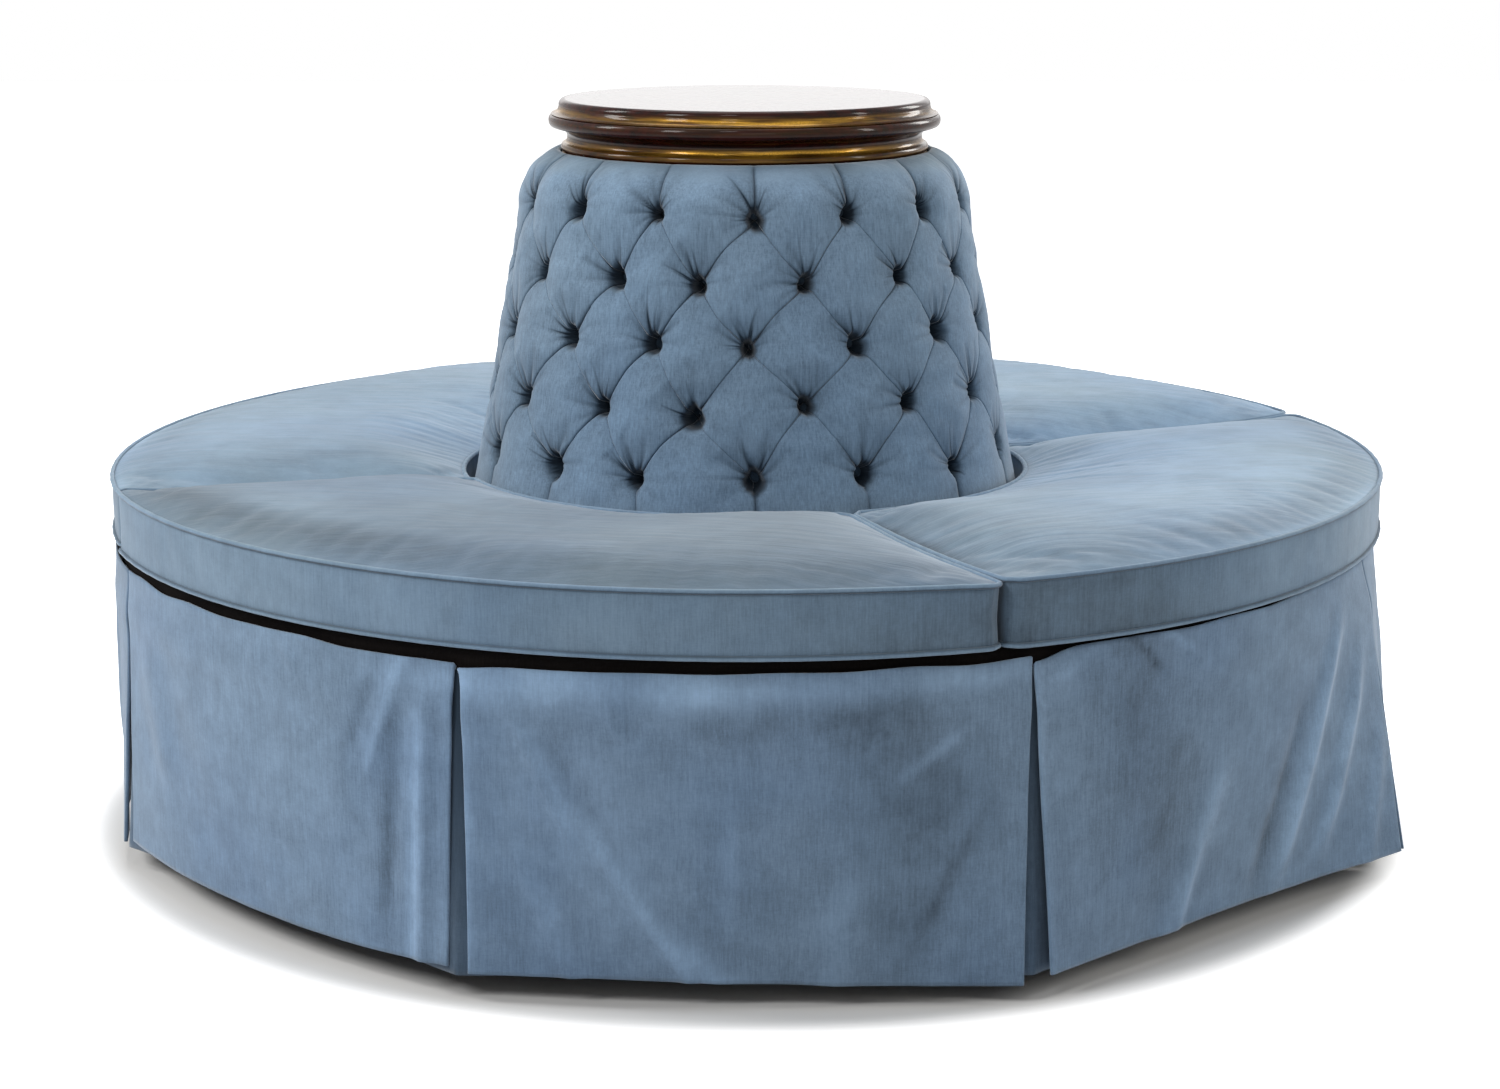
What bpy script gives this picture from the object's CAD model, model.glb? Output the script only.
"""Looks of a round tufted settee: its velvet, its buttoned column, its turned top and its studio.

Lengths are metres, +Z is up, and angles are measured round the column from the front (-Y)
towards the right (+X).
"""

import logging
import math
from dataclasses import dataclass
from enum import Enum
from functools import cache
from typing import Iterable, Sequence

import bmesh
import bpy
import numpy as np
from mathutils import Matrix, Vector


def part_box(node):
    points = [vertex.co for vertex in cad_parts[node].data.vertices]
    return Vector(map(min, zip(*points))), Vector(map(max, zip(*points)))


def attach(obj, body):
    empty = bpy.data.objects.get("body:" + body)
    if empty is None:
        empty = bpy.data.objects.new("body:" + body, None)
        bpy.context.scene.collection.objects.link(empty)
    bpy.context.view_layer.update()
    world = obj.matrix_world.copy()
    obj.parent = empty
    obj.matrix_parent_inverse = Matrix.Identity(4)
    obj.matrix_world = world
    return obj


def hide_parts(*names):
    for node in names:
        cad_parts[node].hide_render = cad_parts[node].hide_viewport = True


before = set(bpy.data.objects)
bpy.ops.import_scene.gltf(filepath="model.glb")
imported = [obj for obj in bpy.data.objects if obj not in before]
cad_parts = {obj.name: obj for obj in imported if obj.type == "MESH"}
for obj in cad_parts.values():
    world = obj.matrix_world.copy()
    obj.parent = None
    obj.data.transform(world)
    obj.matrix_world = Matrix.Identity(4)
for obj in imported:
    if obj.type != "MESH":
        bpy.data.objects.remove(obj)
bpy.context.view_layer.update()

LOG = logging.getLogger("settee")
CLOSE = 1e-5
MM = 0.001
EIGHTH_TURN = math.pi / 4
SHARP_TURN = math.radians(50)

Array = np.ndarray
Mesh = bpy.types.Mesh
Piece = bpy.types.Object
Material = bpy.types.Material
Triple = tuple[float, float, float]
Colour = Triple
Point = tuple[float, float]


class Body(Enum):
    """Bodies of the frame that the pieces ride on."""

    FRAME = "frame"
    CUSHION_FRONT = "cushion_front"
    CUSHION_RIGHT = "cushion_right"
    CUSHION_BACK = "cushion_back"
    CUSHION_LEFT = "cushion_left"


class Slot(Enum):
    """Material slots of the record."""

    CUSHION_CLOTH = "cushion_cloth"
    SKIRT_CLOTH = "skirt_cloth"
    DECK_CLOTH = "deck_cloth"
    DUST_CLOTH = "dust_cloth"
    POLISHED_WOOD = "polished_wood"


def ease(share: Array) -> Array:
    """Smooth step from 0 to 1."""
    return share * share * (3.0 - 2.0 * share)


def held(values: Array) -> Array:
    """Values held between 0 and 1."""
    return np.clip(values, 0.0, 1.0)


def bell(distance: Array, width: float) -> Array:
    """Bell curve that falls to a third at its width."""
    return np.exp(-((distance / width) ** 2))


def around(radius: Array, angle: Array, height: Array) -> Array:
    """Rows of x, y, z for places round the column."""
    return np.column_stack((radius * np.sin(angle), -radius * np.cos(angle), height))


def smooth_random(seed: int, across: Array, down: Array, repeat: int = 64) -> Array:
    """Smooth random values from -1 to 1 over a plane.

    Args:
        seed: Number that picks the pattern.
        across: First coordinates, in cells of the pattern.
        down: Second coordinates, in cells of the pattern.
        repeat: Cells after which the pattern repeats both ways.

    Returns:
        One value for each pair of coordinates.
    """
    table = np.random.default_rng(seed).uniform(-1.0, 1.0, (repeat, repeat))
    column, row = np.floor(across).astype(int), np.floor(down).astype(int)
    along, below = ease(across - column), ease(down - row)
    near, far = column % repeat, (column + 1) % repeat
    top, low = row % repeat, (row + 1) % repeat
    upper = table[near, top] * (1.0 - along) + table[far, top] * along
    lower = table[near, low] * (1.0 - along) + table[far, low] * along
    return upper * (1.0 - below) + lower * below


def read_points(mesh: Mesh) -> Array:
    """Vertex places of a mesh as rows of x, y, z."""
    points = np.empty(len(mesh.vertices) * 3)
    mesh.vertices.foreach_get("co", points)
    return points.reshape(-1, 3)


def write_points(mesh: Mesh, points: Array) -> None:
    """Move the vertices of a mesh to rows of x, y, z."""
    mesh.vertices.foreach_set("co", np.ascontiguousarray(points, dtype=np.float32).ravel())
    mesh.update()


def paint(mesh: Mesh, name: str, values: Array) -> None:
    """Store one number for each vertex, which a finish reads by name."""
    layer = mesh.attributes.get(name) or mesh.attributes.new(name, "FLOAT", "POINT")
    layer.data.foreach_set("value", np.ascontiguousarray(values, dtype=np.float32))


def mesh_from(bm: bmesh.types.BMesh, name: str, smooth: bool = True) -> Mesh:
    """Turn a bmesh into a mesh and free it."""
    mesh = bpy.data.meshes.new(name)
    bm.to_mesh(mesh)
    bm.free()
    if smooth:
        mesh.shade_smooth()
    return mesh


def grid_mesh(name: str, across: int, down: int) -> Mesh:
    """Make a flat grid from -1 to 1 both ways."""
    bm = bmesh.new()
    bmesh.ops.create_grid(bm, x_segments=across, y_segments=down, size=1.0)
    return mesh_from(bm, name)


def new_verts(made: dict) -> list[bmesh.types.BMVert]:
    """Vertices among what a bmesh operator made."""
    return [item for item in made["geom"] if isinstance(item, bmesh.types.BMVert)]


def link_new(name: str, data: bpy.types.ID) -> Piece:
    """Make an object at the origin and link it to the scene."""
    piece = bpy.data.objects.new(name, data)
    bpy.context.scene.collection.objects.link(piece)
    return piece


def link_piece(mesh: Mesh, name: str, material: Material) -> Piece:
    """Make an object of a mesh, at the origin, in one finish."""
    piece = link_new(name, mesh)
    mesh.materials.clear()
    mesh.materials.append(material)
    return piece


def seat(piece: Piece, body: Body, nodes: Sequence[str] = ()) -> Piece:
    """Ride a piece on a body and hide the solids that it stands for.

    Args:
        piece: Finished piece.
        body: Body that carries it.
        nodes: Solids of the frame that it replaces.

    Returns:
        The piece.
    """
    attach(piece, body.value)
    if nodes:
        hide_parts(*nodes)
    LOG.info("%s: %d faces on %s", piece.name, len(piece.data.polygons), body.value)
    return piece


def hang(mesh: Mesh, name: str, finish: Material, thickness: float, node: str) -> Piece:
    """Hang a sheet of the skirt's cloth from the deck's edge.

    Args:
        mesh: The sheet's outer face.
        name: Name of the piece.
        finish: Its cloth.
        thickness: How thick the cloth is.
        node: Solid of the frame that it replaces.

    Returns:
        The piece.
    """
    piece = link_piece(mesh, name, finish)
    solid = piece.modifiers.new("thickness", "SOLIDIFY")
    solid.thickness, solid.offset = thickness, -1.0
    seat(piece, Body.FRAME, (node,))
    return piece


def spin_outline(profile: Sequence[Point], steps: int, closed: bool = False) -> bmesh.types.BMesh:
    """Spin points of (radius, height) once round the Z axis.

    Args:
        profile: Points from one end of the outline to the other.
        steps: Number of steps round the axis.
        closed: Whether the last point joins the first.

    Returns:
        The turned surface.
    """
    bm = bmesh.new()
    points = [bm.verts.new((0.0, -radius, height)) for radius, height in profile]
    edges = [bm.edges.new(pair) for pair in zip(points, points[1:])]
    if closed:
        edges.append(bm.edges.new((points[-1], points[0])))
    bmesh.ops.spin(
        bm, geom=points + edges, axis=(0, 0, 1), cent=(0, 0, 0), angle=2 * math.pi, steps=steps, use_merge=True
    )
    return bm


def turned_mesh(profile: Sequence[Point], steps: int, name: str, closed: bool = False) -> Mesh:
    """Spin an outline to a closed mesh with outward faces and sharp arrises."""
    bm = spin_outline(profile, steps, closed)
    bmesh.ops.remove_doubles(bm, verts=bm.verts, dist=CLOSE)
    bmesh.ops.holes_fill(bm, edges=[edge for edge in bm.edges if edge.is_boundary], sides=0)
    bmesh.ops.recalc_face_normals(bm, faces=bm.faces)
    mesh = mesh_from(bm, name)
    mesh.set_sharp_from_angle(angle=SHARP_TURN)
    return mesh


def arc(centre: Point, width: float, height: float, start: float, end: float, steps: int) -> list[Point]:
    """Points along part of an ellipse, angles in degrees, both ends included."""
    angles = [math.radians(start + (end - start) * step / steps) for step in range(steps + 1)]
    return [(centre[0] + width * math.cos(angle), centre[1] + height * math.sin(angle)) for angle in angles]


def feed(socket: bpy.types.NodeSocket, value: object) -> None:
    """Wire a signal into a socket, or set it to a number, a vector or a colour."""
    if isinstance(value, Signal):
        socket.id_data.links.new(value.socket, socket)
    elif socket.type == "RGBA":
        socket.default_value = (*value, 1.0)
    else:
        socket.default_value = value


class Signal:
    """Value of a node's output. Sums with it add Math nodes to its tree."""

    def __init__(self, socket: bpy.types.NodeSocket) -> None:
        """Keep the output."""
        self.socket = socket
        self.nodes = Nodes(socket.id_data)

    def maths(self, operation: str, *others: object, clamp: bool = False) -> "Signal":
        """Add a Math node on this value and others."""
        return self.nodes.add("Math", self, *others, operation=operation, use_clamp=clamp)["Value"]

    def taken_from(self, whole: float, clamp: bool = False) -> "Signal":
        """Subtract this value from a number."""
        return self.nodes.add("Math", whole, self, operation="SUBTRACT", use_clamp=clamp)["Value"]

    def __add__(self, other: object) -> "Signal":
        """Add."""
        return self.maths("ADD", other)

    def __sub__(self, other: object) -> "Signal":
        """Subtract."""
        return self.maths("SUBTRACT", other)

    def __rsub__(self, other: float) -> "Signal":
        """Subtract from a number."""
        return self.taken_from(other)

    def __mul__(self, other: object) -> "Signal":
        """Multiply."""
        return self.maths("MULTIPLY", other)

    def __truediv__(self, other: object) -> "Signal":
        """Divide."""
        return self.maths("DIVIDE", other)

    def span(self, low: float, high: float, to_low: float = 0.0, to_high: float = 1.0) -> "Signal":
        """Map a range of values to another, smoothly."""
        ends = (self, low, high, to_low, to_high)
        return self.nodes.add("MapRange", *ends, interpolation_type="SMOOTHSTEP")["Result"]


class Nodes:
    """Adds nodes to one node tree and wires them."""

    def __init__(self, tree: bpy.types.NodeTree) -> None:
        """Keep the tree that the nodes go into."""
        self.tree = tree

    def add(self, kind: str, *values: object, **named: object) -> dict[str, Signal]:
        """Add a node.

        Args:
            kind: Type of the node, without ShaderNode.
            *values: What its first inputs get, in their order.
            **named: Settings of the node, and values of inputs by name with underscores for spaces.

        Returns:
            The outputs by name.
        """
        node = self.tree.nodes.new(kind if kind.startswith("NodeGroup") else f"ShaderNode{kind}")
        for name, value in named.items():
            if hasattr(node, name):
                setattr(node, name, value)
        for socket, value in zip([socket for socket in node.inputs if socket.enabled], values):
            feed(socket, value)
        self.fill(node, **{name: value for name, value in named.items() if not hasattr(node, name)})
        return {socket.name: Signal(socket) for socket in node.outputs if socket.enabled}

    def fill(self, node: bpy.types.Node, **named: object) -> None:
        """Wire or set a node's inputs by name, with underscores for spaces."""
        for name, value in named.items():
            feed(node.inputs[name.replace("_", " ")], value)

    def place(self) -> Signal:
        """Place on the object."""
        return self.add("TexCoord")["Object"]

    def facing(self) -> Signal:
        """How far the surface faces up."""
        return self.add("SeparateXYZ", self.add("NewGeometry")["Normal"])["Z"]

    def blend(self, share: Signal, first: object, second: object) -> Signal:
        """Mix two colours."""
        return self.add("Mix", share, first, second, data_type="RGBA")["Result"]

    def noise(self, vector: Signal, size: float, detail: float = 2.0, roughness: float = 0.5) -> Signal:
        """Values of a Noise texture."""
        return self.add("TexNoise", Vector=vector, Scale=size, Detail=detail, Roughness=roughness)["Fac"]

    def stretched(self, vector: Signal, scale: Triple, turn: float = 0.0) -> Signal:
        """Scale a vector along its axes, after a turn about Z."""
        if turn:
            vector = self.add("Mapping", Vector=vector, Rotation=(0.0, 0.0, turn))["Vector"]
        return self.add("Mapping", Vector=vector, Scale=scale)["Vector"]

    def streaks(self, vector: Signal, scale: Triple, detail: float, roughness: float) -> Signal:
        """Values of a Noise texture drawn out along an axis."""
        return self.noise(self.stretched(vector, scale), 1.0, detail, roughness)

    def attribute(self, name: str) -> Signal:
        """Number painted on the mesh."""
        return self.add("Attribute", attribute_name=name)["Fac"]

    def bump(self, height: Signal, depth: float, strength: float, **normal: Signal) -> Signal:
        """Normal bent by a height, on top of another Normal where one is given."""
        return self.add("Bump", Height=height, Distance=depth, Strength=strength, **normal)["Normal"]

    def seen(self) -> Signal:
        """Value of 1 for rays from the camera, straight, reflected or through glass."""
        paths = self.add("LightPath")
        seen = paths["Is Camera Ray"].maths("MAXIMUM", paths["Is Glossy Ray"])
        return seen.maths("MAXIMUM", paths["Is Transmission Ray"])


def new_group(
    name: str, inputs: Iterable[str], outputs: Iterable[str]
) -> tuple[bpy.types.NodeTree, Nodes, dict[str, Signal]]:
    """Make a shader node group.

    Args:
        name: Name of the group.
        inputs: Names of its inputs; one called Vector is a vector and the rest are numbers.
        outputs: Names of its outputs, all numbers.

    Returns:
        The group, a builder for its nodes and its inputs by name.
    """
    group = bpy.data.node_groups.new(name, "ShaderNodeTree")
    for label in inputs:
        kind = "NodeSocketVector" if label == "Vector" else "NodeSocketFloat"
        group.interface.new_socket(name=label, in_out="INPUT", socket_type=kind)
    for label in outputs:
        group.interface.new_socket(name=label, in_out="OUTPUT", socket_type="NodeSocketFloat")
    nodes = Nodes(group)
    return group, nodes, nodes.add("NodeGroupInput")


@cache
def slub_group() -> bpy.types.NodeTree:
    """Make the group for slubbed threads: long thin streaks with a fine weave over them.

    Returns:
        A group whose Vector has its threads along Z, with outputs Threads and Height.
    """
    group, nodes, source = new_group("slub_threads", ("Vector",), ("Threads", "Height"))
    place = source["Vector"]
    streaks = nodes.streaks(place, (360.0, 360.0, 18.0), 3.0, 0.7).span(0.32, 0.68) * 0.50
    hairs = nodes.streaks(place, (1000.0, 1000.0, 90.0), 1.0, 0.6).span(0.25, 0.75) * 0.32
    weft = nodes.streaks(place, (110.0, 110.0, 1000.0), 1.0, 0.5).span(0.30, 0.70) * 0.18
    nodes.add("NodeGroupOutput", Threads=streaks + hairs + weft, Height=hairs + weft)
    return group


@cache
def nap_group() -> bpy.types.NodeTree:
    """Make the group for brushed nap: cloudy patches with soft strokes across them.

    Returns:
        A group whose Vector has its strokes along X, with outputs Brushed, Drift and Strokes.
    """
    group, nodes, source = new_group("brushed_nap", ("Vector",), ("Brushed", "Drift", "Strokes"))
    place = source["Vector"]
    clouds = nodes.noise(place, 5.5, 4.0, 0.62).span(0.32, 0.70)
    drift = nodes.noise(place, 2.6, 2.0, 0.5).span(0.30, 0.72)
    swirl = nodes.add("TexNoise", Vector=place, Scale=3.5, Detail=1.0)["Color"]
    warp = nodes.add("VectorMath", operation="SCALE", Vector=swirl, Scale=0.10)["Vector"]
    bent = nodes.add("VectorMath", place, warp, operation="ADD")["Vector"]
    strokes = nodes.streaks(bent, (9.0, 62.0, 9.0), 3.0, 0.62).span(0.25, 0.75)
    nodes.add("NodeGroupOutput", Brushed=clouds, Drift=drift, Strokes=strokes)
    return group


@cache
def wrinkle_group() -> bpy.types.NodeTree:
    """Make the group for one thin wrinkle that runs out from a button, its own way for each.

    Returns:
        A group with inputs Vector (the button's number), Across and Up (metres from it), Angle
        and Length, and output Wrinkle, up to 1 along the line of the wrinkle.
    """
    inputs = ("Vector", "Across", "Up", "Angle", "Length")
    group, nodes, source = new_group("thin_wrinkle", inputs, ("Wrinkle",))
    across, up = source["Across"], source["Up"]
    luck = nodes.add("TexWhiteNoise", noise_dimensions="4D", W=source["Angle"], Vector=source["Vector"])
    lots = nodes.add("SeparateColor", luck["Color"])
    angle = source["Angle"] + (lots["Red"] - 0.5) * 0.45
    length = source["Length"] * (lots["Green"] + 0.45)
    cosine, sine = angle.maths("COSINE"), angle.maths("SINE")
    along = across * cosine + up * sine
    aside = up * cosine - across * sine + along * along * ((lots["Blue"] - 0.5) * 9.0)
    ratio = aside / (along * 0.012 + 1.05 * MM)
    line = (ratio * ratio * -1.0).maths("EXPONENT")
    finish = (along / length).taken_from(1.0, clamp=True).maths("POWER", 0.8)
    share = line * along.span(3 * MM, 9 * MM) * finish
    nodes.add("NodeGroupOutput", Wrinkle=share * (luck["Value"] * 0.85 + 0.15))
    return group


def new_material(name: str) -> tuple[Material, Nodes, bpy.types.Node]:
    """Make a material, with a builder for its nodes and its Principled shader."""
    material = bpy.data.materials.new(name)
    material.use_nodes = True
    return material, Nodes(material.node_tree), material.node_tree.nodes["Principled BSDF"]


@dataclass(frozen=True)
class Velvet:
    """Brushed cotton velvet with vertical slubs on its sides and brushed nap on its tops."""

    name: str
    face: Colour = (0.150, 0.232, 0.338)
    brushed: Colour = (0.215, 0.305, 0.405)
    drifted: Colour = (0.180, 0.245, 0.280)
    deep: Colour = (0.012, 0.024, 0.040)
    slub_contrast: float = 0.26
    nap_contrast: float = 0.55
    stroke_contrast: float = 0.15
    grain_contrast: float = 0.20
    mottle_contrast: float = 0.16
    stroke_turn: float = 0.0
    top_shade: float = 1.0
    side_shade: float = 1.0
    roughness: float = 0.82
    sheen: float = 0.45

    def wrinkles(self, nodes: Nodes) -> Signal | None:
        """Share of thin wrinkles in the nap, where the cloth has any."""
        return None

    def build(self) -> Material:
        """Build the finish.

        It reads two painted numbers: 'fold', 1 in the depth of a crease, and 'brushing', the share
        that the nap is lighter or darker there.
        """
        material, nodes, shader = new_material(self.name)
        place = nodes.place()
        threads = nodes.add("Group", node_tree=slub_group(), Vector=place)
        turned = nodes.stretched(place, (1.0, 1.0, 1.0), self.stroke_turn)
        nap = nodes.add("Group", node_tree=nap_group(), Vector=turned)
        top = nodes.facing().span(0.55, 0.85)
        colour = nodes.blend(nap["Drift"] * (top * 0.45 + 0.25), self.face, self.drifted)
        colour = nodes.blend(nap["Brushed"] * self.nap_contrast, colour, self.brushed)
        strokes = (nap["Strokes"] - 0.5) * self.stroke_contrast * top
        slubs = (threads["Threads"] - 0.5) * self.slub_contrast * (1.0 - top * 0.7)
        grain = (nodes.noise(place, 340.0, 3.0, 0.75) - 0.5) * self.grain_contrast
        mottle = (nodes.noise(place, 24.0, 5.0, 0.68).span(0.30, 0.70) - 0.5) * self.mottle_contrast
        light = strokes + slubs + grain + mottle
        light = light + nodes.attribute("brushing") * (nap["Brushed"] * 0.9 + 0.55)
        light = (light + 1.0) * (top * (self.top_shade - self.side_shade) + self.side_shade)
        colour = nodes.add("HueSaturation", Value=light, Color=colour)["Color"]
        fold = nodes.attribute("fold")
        bumped = nodes.bump(threads["Height"], 0.25 * MM, 0.55)
        wrinkles = self.wrinkles(nodes)
        if wrinkles is not None:
            fold = fold.maths("ADD", wrinkles, clamp=True)
            bumped = nodes.bump(1.0 - wrinkles, 1.2 * MM, 0.8, Normal=bumped)
        bumped = nodes.bump(nap["Strokes"] * top, 1.6 * MM, 0.30, Normal=bumped)
        nodes.fill(shader, Base_Color=nodes.blend(fold, colour, self.deep), Normal=bumped)
        nodes.fill(shader, Sheen_Weight=self.sheen, Sheen_Roughness=0.42, Sheen_Tint=(0.86, 0.92, 1.0))
        nodes.fill(shader, Roughness=self.roughness, Specular_IOR_Level=0.18)
        return material


@dataclass(frozen=True)
class ButtonedVelvet(Velvet):
    """Velvet pulled in by buttons, with thin wrinkles that run out from each of them."""

    buttons_round: int = 15
    spacing: float = 0.1229
    row_spacing: float = 0.0799
    last_row: float = 4.0
    rays: tuple[Point, ...] = (
        (178, 22), (156, 30), (138, 42), (120, 50), (102, 52), (84, 44), (64, 34), (40, 22),
        (-62, 20), (-92, 15), (-122, 20),
    )

    def wrinkles(self, nodes: Nodes) -> Signal | None:
        """Share of thin wrinkles, worked out from the mesh's map of the buttons' lattice."""
        lattice = nodes.add("SeparateXYZ", nodes.add("UVMap", uv_map="lattice")["UV"])
        count, row = lattice["X"], lattice["Y"]
        inside = row.maths("MAXIMUM", 0.0).maths("MINIMUM", self.last_row)
        rising, falling = count + inside * 0.5, count - inside * 0.5
        near_s, near_t = rising.maths("ROUND"), falling.maths("ROUND")
        off_s, off_t = rising - near_s, falling - near_t
        across = (off_s + off_t) * (self.spacing / 2)
        up = (off_s - off_t + (row - inside)) * -self.row_spacing
        button = (near_s + near_t) * 0.5
        lot = ((button + 0.01).maths("FLOORED_MODULO", float(self.buttons_round)) * 2.0).maths("ROUND")
        number = nodes.add("CombineXYZ", lot, near_s - near_t)["Vector"]
        total = None
        for degrees, reach in self.rays:
            share = nodes.add(
                "Group", number, across, up, math.radians(degrees), reach * MM, node_tree=wrinkle_group()
            )["Wrinkle"]
            total = share if total is None else total.maths("MAXIMUM", share)
        return total


@dataclass(frozen=True)
class Mahogany:
    """Dark polished wood with a rubbed gilt wash in its hollows."""

    name: str
    dark: Colour = (0.004, 0.0012, 0.0010)
    red: Colour = (0.034, 0.004, 0.002)
    gilt: Colour = (0.500, 0.270, 0.030)
    roughness: float = 0.24
    coat: float = 0.20

    def build(self) -> Material:
        """Build the finish. It reads the painted number 'gilt', 1 where the gilding is full."""
        material, nodes, shader = new_material(self.name)
        place = nodes.place()
        grain = nodes.streaks(place, (9.0, 120.0, 120.0), 5.0, 0.62)
        pores = nodes.streaks(place, (60.0, 1500.0, 1500.0), 2.0, 0.5)
        patch = nodes.streaks(place, (11.0, 11.0, 200.0), 3.0, 0.6)
        colour = nodes.blend(grain.span(0.30, 0.72), self.dark, self.red)
        share = nodes.attribute("gilt").maths("MULTIPLY", patch.span(0.34, 0.64, 0.12, 1.0), clamp=True)
        nodes.fill(shader, Base_Color=nodes.blend(share, colour, self.gilt), Metallic=share * 0.85)
        nodes.fill(shader, Roughness=pores * 0.06 + self.roughness, Normal=nodes.bump(pores, 0.05 * MM, 0.25))
        nodes.fill(shader, Specular_IOR_Level=0.05, Coat_Weight=self.coat, Coat_Roughness=0.05)
        return material


@dataclass(frozen=True)
class Timber:
    """Bare wood of the carcass, planed or in plies."""

    name: str
    early: Colour = (0.560, 0.380, 0.210)
    late: Colour = (0.360, 0.210, 0.100)
    plies: float = 0.0
    roughness: float = 0.62

    def build(self) -> Material:
        """Build the finish, with ply lines on upright edges where plies are asked for."""
        material, nodes, shader = new_material(self.name)
        place = nodes.place()
        turned = nodes.stretched(place, (0.7, 3.0, 3.0), 0.3)
        rings = nodes.add("TexWave", Vector=turned, Scale=11.0, Distortion=5.0, Detail=3.0)["Fac"]
        fibre = nodes.streaks(place, (14.0, 240.0, 240.0), 4.0, 0.6)
        colour = nodes.blend(rings * 0.6 + fibre * 0.4, self.early, self.late)
        if self.plies:
            bands = nodes.add("TexWave", bands_direction="Z", Vector=place, Scale=self.plies, Distortion=0.6)
            edge = nodes.facing().maths("ABSOLUTE").span(0.2, 0.8, 1.0, 0.0)
            colour = nodes.blend(edge * bands["Fac"], colour, self.late)
        nodes.fill(shader, Base_Color=colour, Roughness=self.roughness)
        nodes.fill(shader, Normal=nodes.bump(fibre, 0.15 * MM, 0.4))
        return material


@dataclass(frozen=True)
class PlainCloth:
    """Plain woven cloth for the deck and the dust cover."""

    name: str
    face: Colour
    thread: Colour
    roughness: float = 0.92

    def build(self) -> Material:
        """Build the finish, with its weave and faint dust."""
        material, nodes, shader = new_material(self.name)
        place = nodes.place()
        threads = nodes.add("Group", node_tree=slub_group(), Vector=place)
        dust = nodes.noise(place, 9.0, 4.0, 0.6).span(0.45, 0.80, 0.0, 0.5)
        share = (threads["Threads"] * 0.6).maths("MAXIMUM", dust)
        nodes.fill(shader, Base_Color=nodes.blend(share, self.face, self.thread), Specular_IOR_Level=0.08)
        nodes.fill(shader, Normal=nodes.bump(threads["Height"], 0.3 * MM, 0.6), Roughness=self.roughness)
        return material


@dataclass(frozen=True)
class ZincSteel:
    """Bright zinc plate on the screws."""

    name: str
    face: Colour = (0.56, 0.55, 0.52)
    dull: Colour = (0.40, 0.39, 0.34)

    def build(self) -> Material:
        """Build the finish, with cloudy passivation."""
        material, nodes, shader = new_material(self.name)
        cloud = nodes.noise(nodes.place(), 900.0, 3.0, 0.6)
        nodes.fill(shader, Base_Color=nodes.blend(cloud, self.face, self.dull), Metallic=1.0)
        nodes.fill(shader, Roughness=cloud.span(0.2, 0.8, 0.25, 0.45))
        return material


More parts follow.
